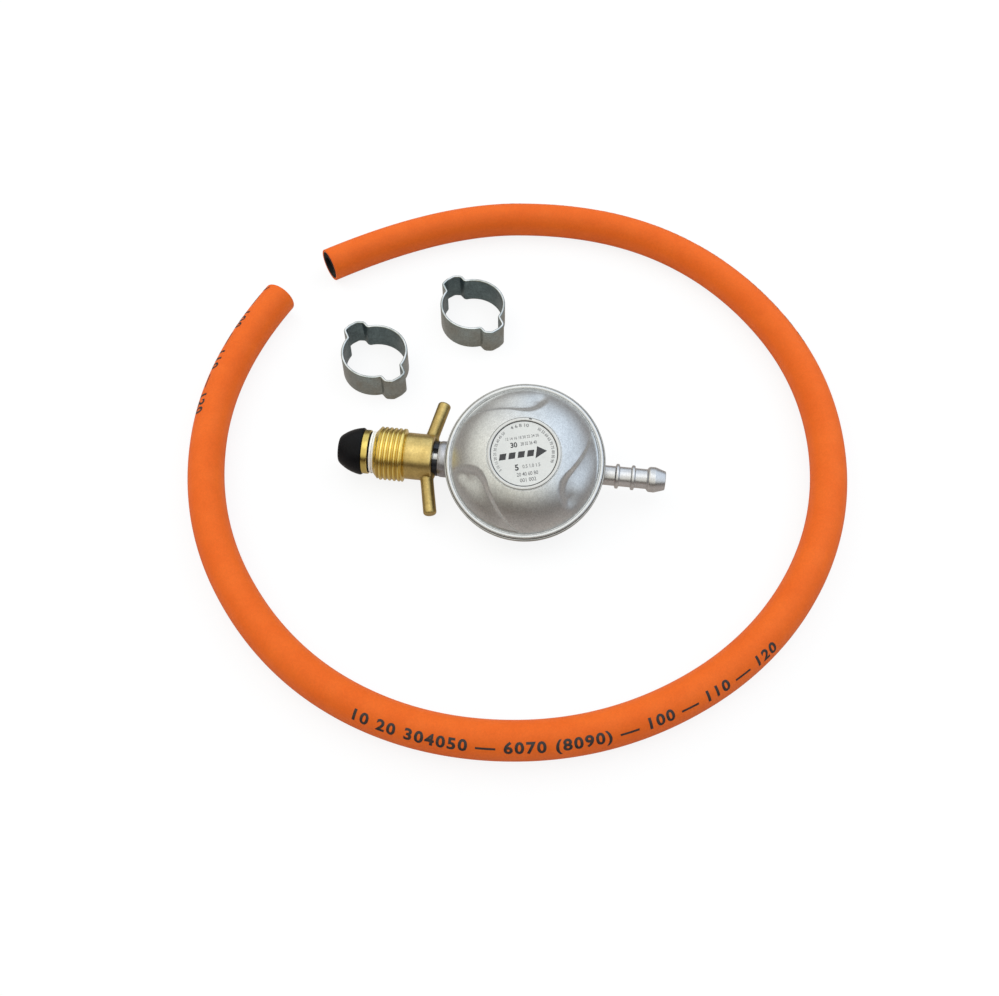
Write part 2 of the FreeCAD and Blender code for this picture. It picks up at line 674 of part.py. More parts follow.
def make_diaphragm():
    """Rubber diaphragm, clamped at its edge, with one roll."""
    body = new_body("diaphragm")
    hole = size["stem_radius"] + size["plug_clearance"] / 2
    middle, half = roll_place, size["rubber"] / 2
    under, over = size["roll_radius"] - half, size["roll_radius"] + half
    low, high = size["roll_drop"] - half, size["roll_drop"] + half
    under_reach = root(under * under - low * low)
    over_reach = root(over * over - high * high)
    spin(body, "rubber_sheet", [
        (hole, flange_top),
        (middle - under_reach, flange_top, -under),
        (middle + under_reach, flange_top),
        (size["flange_radius"], flange_top),
        (size["flange_radius"], rubber_top),
        (middle + over_reach, rubber_top, over),
        (middle - over_reach, rubber_top),
        (hole, rubber_top),
    ])


def make_core():
    """What the diaphragm carries: plate, stem, clamp washer and nut."""
    plate = new_body("diaphragm_plate")
    radius, hole = plate_radius, size["stem_radius"] + size["plug_clearance"] / 2
    guide = size["spring_radius"] - size["spring_wire"] - 0.4
    spin(plate, "dish", [
        (hole, rubber_top),
        (radius, rubber_top),
        (radius, plate_top + size["plate_edge"]),
        (radius - size["plate_thick"], plate_top + size["plate_edge"]),
        (radius - size["plate_thick"], plate_top),
        (guide, plate_top),
        (guide - 0.4, plate_top + 0.5),
        (guide - 1.0, plate_top + 0.5),
        (guide - 1.4, plate_top),
        (hole, plate_top),
    ])
    stem = new_body("diaphragm_stem")
    catch_top = size["catch_height"] + size["catch_thick"]
    collar_bottom = collar_top - size["collar_thick"]
    end = plate_top + size["stem_nut_height"] + size["stem_end"]
    spin(stem, "turned_stem", [
        (0, size["catch_height"]),
        (size["catch_radius"], size["catch_height"]),
        (size["catch_radius"], catch_top),
        (size["neck_radius"], catch_top),
        (size["neck_radius"], collar_bottom),
        (size["collar_radius"], collar_bottom),
        (size["collar_radius"], collar_top),
        (size["stem_radius"], collar_top),
        (size["stem_radius"], end - 0.3),
        (size["stem_radius"] - 0.3, end),
        (0, end),
    ])
    washer = new_body("stem_washer")
    spin(washer, "ring", rectangle(hole, size["washer_radius"], collar_top, flange_top))
    nut = new_body("stem_nut")
    pad = nut.newObject("PartDesign::Pad", "hexagon")
    pad.Profile = outline(nut, "nut_hexagon", "XY_Plane", hexagon(size["stem_nut_flats"]))
    bind(pad.Profile[0], "AttachmentOffset.Base.z", plate_top)
    bind(pad, "Length", size["stem_nut_height"])
    spin(nut, "thread_hole", [
        (0, plate_top - 1), (hole, plate_top - 1), (hole, plate_top + size["stem_nut_height"] + 1),
        (0, plate_top + size["stem_nut_height"] + 1),
    ], "V_Axis", "Groove")


def make_lever():
    """Lever that turns the diaphragm's lift into the valve's travel."""
    body = new_body("lever")
    x, z = size["pin_x"], size["pin_z"]
    low, high = size["lever_low"], size["lever_low"] + size["lever_thick"]
    crank, end = size["crank_start"], -size["fork_reach"]
    block(body, "long_arm", "XZ_Plane", [
        (end, low), (crank, low), (x, z - size["lever_thick"] / 2),
        (x, z + size["lever_thick"] / 2), (crank, high), (end, high),
    ], 2 * size["lever_half"])
    block(body, "fork", "XY_Plane",
          rectangle(end - 1, size["fork_root"], -size["fork_half"], size["fork_half"]),
          4 * z, "Pocket")
    thin, thick, tip = size["arm_neck"], size["arm_half"], size["arm_tip"]
    block(body, "short_arm", "XZ_Plane", [
        (x - thin, -tip), (x + thin, -tip), (x + thick, -tip / 2), (x + thick, tip / 2),
        (x + thin, 1.5 * tip), (x + thin, z), (x - thin, z), (x - thin, 1.5 * tip),
        (x - thick, tip / 2), (x - thick, -tip / 2),
    ], 2 * size["arm_side"])
    hub = body.newObject("PartDesign::Pad", "hub")
    hub.Profile = drill_sketch(body, "hub_circle", x, z, size["hub_radius"])
    hub.Midplane = True
    bind(hub, "Length", 2 * size["lever_half"])
    drill(body, "hub_hole", "XZ_Plane", x, z, size["pin_radius"] + size["running"],
          2 * size["lever_half"] + 1)
    pin = new_body("lever_pin")
    rod = pin.newObject("PartDesign::Pad", "rod")
    rod.Profile = drill_sketch(pin, "rod_circle", x, z, size["pin_radius"])
    rod.Midplane = True
    bind(rod, "Length", 2 * (size["lever_half"] + size["lug_gap"] + size["lug_thick"]))


def drill_sketch(body, name, x, y, radius):
    """A circle on the XZ plane."""
    sketch = body.newObject("Sketcher::SketchObject", name)
    sketch.AttachmentSupport = [(origin_plane(body, "XZ_Plane"), "")]
    sketch.MapMode = "FlatFace"
    centre = FreeCAD.Vector(x.value, y.value, 0)
    sketch.addGeometry(Part.Circle(centre, FreeCAD.Vector(0, 0, 1), radius.value))
    for kind, value in (("DistanceX", x), ("DistanceY", y)):
        index = sketch.addConstraint(Sketcher.Constraint(kind, -1, 1, 0, 3, value.value))
        bind(sketch, f"Constraints[{index}]", value)
    index = sketch.addConstraint(Sketcher.Constraint("Radius", 0, radius.value))
    bind(sketch, f"Constraints[{index}]", radius)
    return sketch


def make_valve():
    """Jet, plunger and rubber pad of the valve."""
    plunger = new_body("valve_plunger")
    front, tail = size["plunger_front"], size["plunger_end"]
    pad_back = front + size["pad_thick"]
    pad_radius = size["pad_radius"]
    spin(plunger, "turned_plunger", [
        (front, pad_radius),
        (front, size["plunger_radius"] - 0.2),
        (front + 0.2, size["plunger_radius"]),
        (tail, size["plunger_radius"]),
        (tail, 0),
        (pad_back, 0),
        (pad_back, pad_radius),
    ], "H_Axis")
    gap = size["arm_half"] + size["arm_gap"]
    block(plunger, "arm_slot", "XZ_Plane",
          rectangle(size["pin_x"] - gap, size["pin_x"] + gap,
                    -size["arm_tip"] - size["arm_gap"], size["plunger_radius"] + 1),
          2 * size["plunger_radius"] + 1, "Pocket")
    pad = new_body("valve_pad")
    spin(pad, "disc", rectangle(front, pad_back, sized(0), pad_radius), "H_Axis")
    jet = new_body("inlet_jet")
    back, end = size["jet_end"] - size["jet_length"], size["jet_end"]
    spin(jet, "turned_jet", [
        (back, size["jet_hole"]),
        (back, size["jet_radius"]),
        (end, size["jet_radius"]),
        (end, size["jet_seat"] + 0.5),
        (end + size["jet_tip"], size["jet_seat"]),
        (end + size["jet_tip"], size["jet_hole"]),
    ], "H_Axis")


def make_inlet():
    """Spigot with its seal, filter, rubber nose and the pieces that hold the nut."""
    spigot = new_body("inlet_spigot")
    shank, bore = size["spigot_radius"], size["spigot_bore"]
    pilot_end = nose_end + size["nose_lip"]
    clip_back = clip_front + size["clip_width"]
    fitted = size["pilot_radius"] + size["plug_clearance"] / 2
    spin(spigot, "turned_spigot", [
        (pilot_end, bore),
        (pilot_end, size["pilot_radius"] - 0.5),
        (pilot_end + 0.5, size["pilot_radius"]),
        (collar_front, size["pilot_radius"]),
        (collar_front, size["collar_outer"] - 0.3),
        (collar_front + 0.3, size["collar_outer"]),
        (collar_back - 0.3, size["collar_outer"]),
        (collar_back, size["collar_outer"] - 0.3),
        (collar_back, shank),
        (clip_front, shank),
        (clip_front, size["groove_radius"]),
        (clip_back, size["groove_radius"]),
        (clip_back, size["spigot_thread"]),
        (spigot_end, size["spigot_thread"]),
        (spigot_end, bore),
    ], "H_Axis")
    nose = new_body("nose_seal")
    rear = collar_front - 0.8
    spin(nose, "moulded_nose", [
        (nose_end, bore),
        (nose_end, size["nose_front"] - 0.6),
        (nose_end + 0.5, size["nose_front"], -size["nose_curve"]),
        (rear, size["nose_radius"]),
        (collar_front, size["nose_radius"] - 0.3),
        (collar_front, fitted),
        (pilot_end + 0.5, fitted),
        (pilot_end, fitted - 0.5),
        (pilot_end, bore),
    ], "H_Axis")
    gauze = new_body("inlet_filter")
    end, wall = pilot_end + size["filter_length"], size["filter_wall"]
    spin(gauze, "cup", [
        (pilot_end, bore - wall),
        (pilot_end, bore - 0.02),
        (end, bore - 0.02),
        (end, 0),
        (end - wall, 0),
        (end - wall, bore - wall),
    ], "H_Axis")
    washer = new_body("thrust_washer")
    spin(washer, "ring", rectangle(collar_back, collar_back + size["washer_face"],
                                   shank + size["plug_clearance"] / 2, size["washer_outer"]),
         "H_Axis")
    ring = new_body("sealing_ring")
    ring_inner = size["spigot_thread"] + size["plug_clearance"] / 2
    spin(ring, "ring", rectangle(-size["boss_end"], size["ring_section"] - size["boss_end"],
                                 ring_inner, ring_inner + size["ring_section"]), "H_Axis")
    clip = new_body("nut_clip")
    gap = size["clip_opening"]
    clip_inner = size["groove_radius"] + size["plug_clearance"] / 2
    spin(clip, "open_ring", rectangle(clip_front, clip_back, clip_inner, size["clip_radius"]),
         "H_Axis", "Revolution", 360 - gap)
    turn = FreeCAD.Rotation(
        FreeCAD.Vector(1, 0, 0), size["clip_turn"].value - 90 + gap.value / 2
    )
    clip.Placement = SEAT * FreeCAD.Placement(FreeCAD.Vector(), turn)


def make_nut():
    """Tee nut: male thread, plain hub and two swept wings."""
    body = new_body("pol_nut")
    body.Placement = SEAT * FreeCAD.Placement(
        FreeCAD.Vector(), FreeCAD.Rotation(FreeCAD.Vector(1, 0, 0), size["wing_turn"].value)
    )
    bore = size["spigot_radius"] + size["running"]
    thread_start = nut_front + size["lead_in"]
    thread_end = thread_start + size["thread_run"]
    hub_start = nut_back - size["hub_length"]
    spin(body, "turned_nut", [
        (nut_front, bore),
        (nut_front, size["lead_radius"]),
        (thread_start, size["thread_radius"]),
        (thread_end, size["thread_radius"]),
        (hub_start, size["hub_outer"]),
        (nut_back - 0.5, size["hub_outer"]),
        (nut_back, size["hub_outer"] - 0.5),
        (nut_back, bore),
    ], "H_Axis")
    root_x = nut_back - size["wing_inset"]
    start = size["hub_outer"] - size["wing_sink"]
    tips = []
    for side in (1, -1):
        wing = body.newObject("PartDesign::AdditiveCone", f"wing_{side + 2}")
        sweep = math.radians(size["wing_sweep"].value)
        along = FreeCAD.Vector(math.sin(sweep), side * math.cos(sweep), 0)
        base = FreeCAD.Vector(root_x.value, 0, 0) + along * start.value
        wing.Placement = FreeCAD.Placement(
            base, FreeCAD.Rotation(FreeCAD.Vector(0, 0, 1), along)
        )
        bind(wing, "Radius1", size["wing_root"])
        bind(wing, "Radius2", size["wing_tip"])
        bind(wing, "Height", size["wing_reach"] / cosine(size["wing_sweep"]) - start)
        reach = size["wing_reach"].value / math.cos(sweep)
        tips.append(FreeCAD.Vector(root_x.value, 0, 0) + along * reach)
    document.recompute()
    edges = []
    for number, edge in enumerate(wing.Shape.Edges, start=1):
        for tip in tips:
            centre = getattr(edge.Curve, "Center", edge.Vertexes[0].Point)
            if centre.distanceToPoint(tip) < 0.1:
                edges.append(f"Edge{number}")
    rounding = body.newObject("PartDesign::Fillet", "rounded_tips")
    rounding.Base = (wing, edges)
    bind(rounding, "Radius", size["wing_round"])


def bends(points):
    """Edges of the hose's path: straight runs joined by tangent arcs, and their radii."""
    corners = [FreeCAD.Vector(x, y, size["hose_radius"].value) for x, y in points]
    edges, radii, start = [], [], corners[0]
    for before, corner, after in zip(corners, corners[1:], corners[2:]):
        back, ahead = (before - corner), (after - corner)
        short = min(back.Length, ahead.Length)
        turn = math.pi - back.getAngle(ahead)
        radius = BEND_SHARE * short / math.tan(turn / 2)
        first = corner + back.normalize() * BEND_SHARE * short
        last = corner + ahead.normalize() * BEND_SHARE * short
        inward = (back + ahead).normalize()
        middle = corner + inward * radius * (1 / math.cos(turn / 2) - 1)
        edges.append(Part.LineSegment(start, first).toShape())
        edges.append(Part.Arc(first, middle, last).toShape())
        radii.append(radius)
        start = last
    edges.append(Part.LineSegment(start, corners[-1]).toShape())
    return edges, radii


def make_hose():
    """Loose hose: an orange cover over a black lining, both swept along one route."""
    edges, radii = bends(ROUTE)
    path = Part.Wire(edges)
    print("hose bend radii:", [round(r) for r in radii], f"length {path.Length:.1f} mm")
    start = edges[0].Vertexes[0].Point
    direction = edges[0].tangentAt(edges[0].FirstParameter)
    rings = (
        ("hose_cover", size["hose_radius"], size["liner_radius"]),
        ("hose_liner", size["liner_radius"], size["hose_bore"]),
    )
    for label, outer, inner in rings:
        discs = [Part.Face(Part.Wire([Part.makeCircle(r.value, start, direction)]))
                 for r in (outer, inner)]
        tube = document.addObject("Part::Feature", label)
        tube.Shape = path.makePipe(discs[0]).cut(path.makePipe(discs[1]))
        nodes.append(tube)
        section = math.pi * (outer.value ** 2 - inner.value ** 2)
        share = tube.Shape.Volume / (section * path.Length)
        print(f"{label}: volume over section times length {share:.4f}")


def make_ear_clips():
    """Two open ear clips of one bent strip each."""
    bore, foot_x, foot_y = size["clip_bore"], size["ear_foot_x"], size["ear_foot_y"]
    for number, (x, y) in enumerate(CLIP_PLACES, start=1):
        spread = math.hypot(foot_x.value, foot_y.value)
        lift = math.atan2(foot_y.value, foot_x.value) + math.acos(bore.value / spread)
        leave_x, leave_y = bore.value * math.cos(lift), bore.value * math.sin(lift)
        quarter = [
            (leave_x, leave_y),
            (foot_x.value, foot_y.value),
            (foot_x.value + size["ear_shoulder"].value, foot_y.value),
            (foot_x.value + size["ear_rise"].value, size["ear_crown"].value),
        ]
        right = quarter + [(px, -py) for px, py in reversed(quarter)]
        left = [(-px, -py) for px, py in right]
        points = [FreeCAD.Vector(px, py, 0) for px, py in right + left]
        crown = foot_x.value + size["ear_rise"].value + size["ear_bulge"].value
        edges = []
        for i, point in enumerate(points):
            following = points[(i + 1) % len(points)]
            if i in (len(right) - 1, len(points) - 1):
                top = FreeCAD.Vector(0, math.copysign(bore.value, point.y), 0)
                edges.append(Part.Arc(point, top, following).toShape())
            elif i in (len(quarter) - 1, len(right) + len(quarter) - 1):
                top = FreeCAD.Vector(math.copysign(crown, point.x), 0, 0)
                edges.append(Part.Arc(point, top, following).toShape())
            else:
                edges.append(Part.LineSegment(point, following).toShape())
        inside = Part.Wire(edges)
        strip = inside.makeOffset2D(size["clip_strip"].value, fill=True)
        clip = document.addObject("Part::Feature", f"ear_clip_{number}")
        clip.Shape = strip.extrude(FreeCAD.Vector(0, 0, size["clip_band"].value))
        clip.Placement = FreeCAD.Placement(
            FreeCAD.Vector(x, y, 0),
            FreeCAD.Rotation(FreeCAD.Vector(0, 0, 1), EAR_DIRECTION),
        )
        nodes.append(clip)


make_casting()
make_cover()
make_rim()
make_label()
make_plug()
make_spring()
make_diaphragm()
make_core()
make_lever()
make_valve()
make_inlet()
make_nut()
make_hose()
make_ear_clips()
document.recompute()

for thing in document.Objects:
    if {"Invalid", "Error"} & set(thing.State):
        raise SystemExit(f"{thing.Name} did not build: {thing.State}")
for node in nodes:
    if node.Shape.isNull() or not node.Shape.isValid() or not node.Shape.Solids:
        raise SystemExit(f"{node.Label} has no valid solid")
os.makedirs("parts", exist_ok=True)
for node in nodes:
    node.Shape.exportStep(f"parts/{node.Label}.step")
    print(f"{node.Label}: {len(node.Shape.Solids)} solid, {node.Shape.Volume:.1f} mm3")
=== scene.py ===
from bisect import bisect_right
from contextlib import contextmanager
from functools import partial
from math import atan2, cos, exp, hypot, pi, radians, sin, sqrt, tan

import bmesh
import bpy
from mathutils import Matrix, Vector, kdtree


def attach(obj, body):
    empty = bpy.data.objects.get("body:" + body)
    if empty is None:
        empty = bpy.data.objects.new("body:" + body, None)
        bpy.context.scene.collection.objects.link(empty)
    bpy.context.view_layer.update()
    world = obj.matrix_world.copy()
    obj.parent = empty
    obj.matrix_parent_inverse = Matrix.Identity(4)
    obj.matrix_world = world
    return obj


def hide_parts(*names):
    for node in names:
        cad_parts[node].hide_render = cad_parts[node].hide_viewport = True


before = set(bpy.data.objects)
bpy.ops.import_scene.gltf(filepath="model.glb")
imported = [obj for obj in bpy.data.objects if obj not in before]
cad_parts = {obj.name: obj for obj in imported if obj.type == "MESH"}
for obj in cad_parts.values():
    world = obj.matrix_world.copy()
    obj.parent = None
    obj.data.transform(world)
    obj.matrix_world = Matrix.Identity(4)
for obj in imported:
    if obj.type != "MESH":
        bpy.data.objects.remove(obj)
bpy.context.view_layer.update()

MM = 0.001
TOUCHING = 1e-7
UP = Vector((0, 0, 1))
WHITE = (1.0, 1.0, 1.0)
FINISH = {}


def turn_by(degrees, axis):
    return Matrix.Rotation(radians(degrees), 4, axis)


def shift_by(x, y, z):
    """A move in millimetres."""
    return Matrix.Translation((x * MM, y * MM, z * MM))


# The regulator's own frame: X along the gas path, Z up through the cover.
SEAT = Matrix.Translation((0.0033, -0.0141, 0.01135)) @ turn_by(-6.8, "Z") @ turn_by(21.0, "X")
# The nut stands turned about the gas path.
NUT_SEAT = SEAT @ turn_by(-6.0, "X")


def polar(radius, angle):
    return radius * cos(angle), radius * sin(angle)


def linked(name, data):
    made = bpy.data.objects.new(name, data)
    bpy.context.scene.collection.objects.link(made)
    return made


# Nodes, for materials and for shapes.


def wire(tree, socket, value):
    """Feed an input from another node, or set it to a plain value."""
    if isinstance(value, bpy.types.NodeSocket):
        tree.links.new(value, socket)
    else:
        is_colour = socket.type == "RGBA" and len(value) == 3
        socket.default_value = (*value, 1) if is_colour else value


def add(tree, kind, inputs=(), **settings):
    """A new node with its settings, then its inputs by name or number; gives its outputs."""
    node = tree.nodes.new(kind)
    for name, value in settings.items():
        setattr(node, name, value)
    for key, value in dict(inputs).items():
        wire(tree, node.inputs[key], value)
    return node.outputs


def reckon(tree, operation, *values, clamp=False):
    return add(tree, "ShaderNodeMath", enumerate(values), operation=operation, use_clamp=clamp)[0]


def ramp(tree, value, *stops):
    """A colour ramp; each stop is (position, colour)."""
    node = tree.nodes.new("ShaderNodeValToRGB")
    row = node.color_ramp.elements
    for element, (place, colour) in zip(row, (stops[0], stops[-1])):
        element.position, element.color = place, (*colour, 1)
    for place, colour in stops[1:-1]:
        row.new(place).color = (*colour, 1)
    wire(tree, node.inputs["Fac"], value)
    return node.outputs["Color"]


def ranged(tree, value, low, high, to_low=0.0, to_high=1.0, kind="LINEAR"):
    return add(tree, "ShaderNodeMapRange", {
        "Value": value, "From Min": low, "From Max": high, "To Min": to_low, "To Max": to_high,
    }, interpolation_type=kind)[0]


def blend(tree, share, first, second, kind="MIX"):
    return add(tree, "ShaderNodeMix", {"Factor": share, 6: first, 7: second},
               data_type="RGBA", blend_type=kind)[2]


def noise(tree, vector, scale, detail=2.0, rough=0.5, distortion=0.0):
    return add(tree, "ShaderNodeTexNoise", {
        "Vector": vector, "Scale": scale, "Detail": detail, "Roughness": rough,
        "Distortion": distortion,
    })["Fac"]


def add_socket(tree, name, kind, value=None, way="INPUT"):
    made = tree.interface.new_socket(name=name, in_out=way, socket_type="NodeSocket" + kind)
    if value is not None:
        made.default_value = value


# Camera, floor and light.


def set_camera():
    view = bpy.data.cameras.new("camera")
    view.sensor_fit, view.sensor_width, view.lens = "HORIZONTAL", 36, 45.23
    view.clip_start, view.clip_end = 0.01, 60
    camera = linked("camera", view)
    camera.location = (-0.0073, -0.3054, 0.4367)
    camera.rotation_euler = (radians(33), 0, 0)
    bpy.context.scene.camera = camera


def set_lamp(side, colour):
    """A soft square lamp on the left (-1) or right (1), up and behind, aimed at the part."""
    place, aim = Vector((side * 0.8, 0.50, 0.75)), Vector((side * 0.05, 0.0, 0.0))
    light = bpy.data.lights.new("left_softbox" if side < 0 else "right_softbox", "AREA")
    light.shape = "RECTANGLE"
    light.size = light.size_y = 1.1
    light.energy = 4.4
    light.color = colour
    holder = linked(light.name, light)
    holder.location = place
    holder.rotation_euler = (aim - place).to_track_quat("-Z", "Y").to_euler()
    holder.visible_glossy = False


def set_floor():
    """A pale floor, white to the camera and dimmer and warmer in reflections."""
    half, shine = 9, 0.86
    mesh = bpy.data.meshes.new("floor")
    corners = [(-half, -half, 0), (half, -half, 0), (half, half, 0), (-half, half, 0)]
    mesh.from_pydata(corners, [], [(0, 1, 2, 3)])
    pale = bpy.data.materials.new("pale_floor")
    pale.use_nodes = True
    tree = pale.node_tree
    tree.nodes.clear()
    ray = add(tree, "ShaderNodeLightPath")
    mirrored = ray["Is Glossy Ray"]
    place = add(tree, "ShaderNodeTexCoord")["Object"]
    away = add(tree, "ShaderNodeVectorMath", {0: place}, operation="LENGTH")["Value"]
    near = ranged(tree, away, 0.05, 0.19, 0.44, 0.19, "SMOOTHSTEP")
    seen = reckon(tree, "MAXIMUM", ray["Is Camera Ray"], reckon(tree, "MULTIPLY", mirrored, near))
    seen = reckon(tree, "MAXIMUM", seen, ray["Is Transmission Ray"])
    board = add(tree, "ShaderNodeBsdfDiffuse", {
        "Color": blend(tree, mirrored, (0.86, 0.86, 0.86), (0.20, 0.195, 0.19)),
    })
    glow = add(tree, "ShaderNodeEmission", {
        "Color": blend(tree, mirrored, WHITE, (1.0, 0.87, 0.78)),
    })
    mix = add(tree, "ShaderNodeMixShader", {
        "Fac": reckon(tree, "MULTIPLY", seen, shine), 1: board[0], 2: glow[0],
    })
    add(tree, "ShaderNodeOutputMaterial", {"Surface": mix[0]})
    mesh.materials.append(pale)
    linked("floor", mesh)


def set_sky():
    """A soft sky, bright overhead and dim low in front; the camera sees it as white."""
    world = bpy.data.worlds.new("sky")
    bpy.context.scene.world = world
    world.use_nodes = True
    tree = world.node_tree
    tree.nodes.clear()
    where = add(tree, "ShaderNodeTexCoord")["Generated"]
    x, y, z = add(tree, "ShaderNodeSeparateXYZ", {0: where})
    front = ramp(
        tree, z, (0.0, (0.22, 0.160, 0.125)), (0.12, (0.065, 0.045, 0.033)),
        (0.29, (0.070, 0.056, 0.043)), (0.40, (0.48, 0.46, 0.43)), (0.51, (0.92, 0.91, 0.87)),
        (0.64, (1.10, 1.09, 1.04)), (1.0, (1.12, 1.12, 1.12)),
    )
    behind = ramp(
        tree, z, (0.0, (0.15, 0.125, 0.112)), (0.11, (0.155, 0.135, 0.122)),
        (0.29, (0.61, 0.61, 0.61)), (0.46, (1.04, 1.05, 1.05)), (0.70, (1.14, 1.14, 1.14)),
        (1.0, (1.12, 1.12, 1.12)),
    )
    sky = blend(tree, ranged(tree, y, -0.34, -0.84, kind="SMOOTHSTEP"), behind, front)
    side = reckon(tree, "MULTIPLY_ADD", y, 0.35, x)
    tint = ramp(
        tree, ranged(tree, side, -0.85, 0.75), (0.0, (1.03, 1.01, 0.91)),
        (0.50, (1.0, 1.01, 1.0)), (0.74, (0.92, 1.0, 1.09)), (1.0, (0.87, 0.985, 1.14)),
    )
    tint = blend(tree, ranged(tree, z, 0.0, 0.40), (1.0, 0.92, 0.85), tint)
    overhead = ranged(tree, z, 0.90, 0.975, 1.0, 1.55, "SMOOTHSTEP")
    tint = blend(tree, 1.0, tint, overhead, "MULTIPLY")
    sky = blend(tree, 1.0, sky, tint, "MULTIPLY")
    seen = add(tree, "ShaderNodeLightPath")["Is Camera Ray"]
    glow = add(tree, "ShaderNodeBackground", {
        "Color": blend(tree, seen, sky, WHITE), "Strength": 1.0,
    })
    add(tree, "ShaderNodeOutputWorld", {"Surface": glow[0]})


# Finishes.

# Most of a noise lies between these two values.
MOSTLY = (0.3, 0.7)


def shader_group(name, inputs, outputs):
    """An empty shader group with its input and output sockets."""
    tree = bpy.data.node_groups.new(name, "ShaderNodeTree")
    for label, value in inputs.items():
        add_socket(tree, label, "Vector" if value is None else "Float", value)
    for label in outputs:
        add_socket(tree, label, "Float", way="OUTPUT")
    return tree, add(tree, "NodeGroupInput"), tree.nodes.new("NodeGroupOutput").inputs


def surface_group():
    """Blotches and fine grain of a surface: two masks and one height."""
    tree, start, end = shader_group("surface_detail", {
        "Vector": None, "Blotch Scale": 60.0, "Grain Scale": 2500.0, "Blotch Height": 0.3,
        "Grain Height": 0.5,
    }, ["Blotch", "Grain", "Height"])
    blotch = noise(tree, start["Vector"], start["Blotch Scale"], 4.0, 0.6)
    fine = noise(tree, start["Vector"], start["Grain Scale"], 1.0)
    cells = add(tree, "ShaderNodeTexVoronoi", {
        "Vector": start["Vector"], "Scale": start["Grain Scale"],
    })
    split = add(tree, "ShaderNodeSeparateColor", {0: cells["Color"]})
    low = reckon(tree, "MULTIPLY", blotch, start["Blotch Height"])
    wire(tree, end["Height"], reckon(tree, "MULTIPLY_ADD", fine, start["Grain Height"], low))
    wire(tree, end["Blotch"], blotch)
    wire(tree, end["Grain"], split["Green"])
    return tree


def turning_group():
    """Fine rings that a cutting tool leaves round a turned piece's axis."""
    tree, start, end = shader_group("turning_marks", {
        "Along": 0.0, "Lines Per Metre": 6000.0,
    }, ["Mark"])
    lines = add(tree, "ShaderNodeTexNoise", {
        "W": start["Along"], "Scale": start["Lines Per Metre"], "Detail": 3.0,
    }, noise_dimensions="1D")
    wire(tree, end["Mark"], lines["Fac"])
    return tree


def wear_and_sheen_group():
    """Where handling has rubbed a piece's edges, broken up as real wear is; on the ear clips the
    same mask paints a highlight along the strip's top and bottom faces.
    """
    tree, start, end = shader_group("edge_wear_and_sheen", {
        "Vector": None, "Edge": 0.0, "Amount": 0.5, "Patch Scale": 700.0,
    }, ["Wear"])
    patch = noise(tree, start["Vector"], start["Patch Scale"], 3.0, 0.6)
    patch = ranged(tree, patch, 0.35, 0.6, 0.25, 1.0)
    worn = reckon(tree, "MULTIPLY", patch, start["Edge"])
    wire(tree, end["Wear"], reckon(tree, "MULTIPLY", worn, start["Amount"], clamp=True))
    return tree


def scratch_group():
    """Thin scratches that lie mostly one way."""
    tree, start, end = shader_group("scratches", {
        "Vector": None, "Scale": 300.0, "Stretch": 14.0,
    }, ["Scratch"])
    shape = add(tree, "ShaderNodeCombineXYZ", {0: start["Stretch"], 1: 1.0, 2: 1.0})[0]
    pulled = add(tree, "ShaderNodeVectorMath", {0: start["Vector"], 1: shape},
                 operation="MULTIPLY")[0]
    line = noise(tree, pulled, start["Scale"], 3.0, 0.7, 0.4)
    wire(tree, end["Scratch"], ranged(tree, line, 0.60, 0.68))
    return tree


SURFACE = surface_group()
TURNING = turning_group()
WEAR_AND_SHEEN = wear_and_sheen_group()
SCRATCHES = scratch_group()


def socket_name(key):
    return key.replace("_", " ").title().replace("Ior", "IOR")


def place_group(tree, group, **values):
    return add(tree, "ShaderNodeGroup", {socket_name(key): value for key, value in values.items()},
               node_tree=group)


def attribute(tree, name):
    return add(tree, "ShaderNodeAttribute", attribute_name=name)["Fac"]


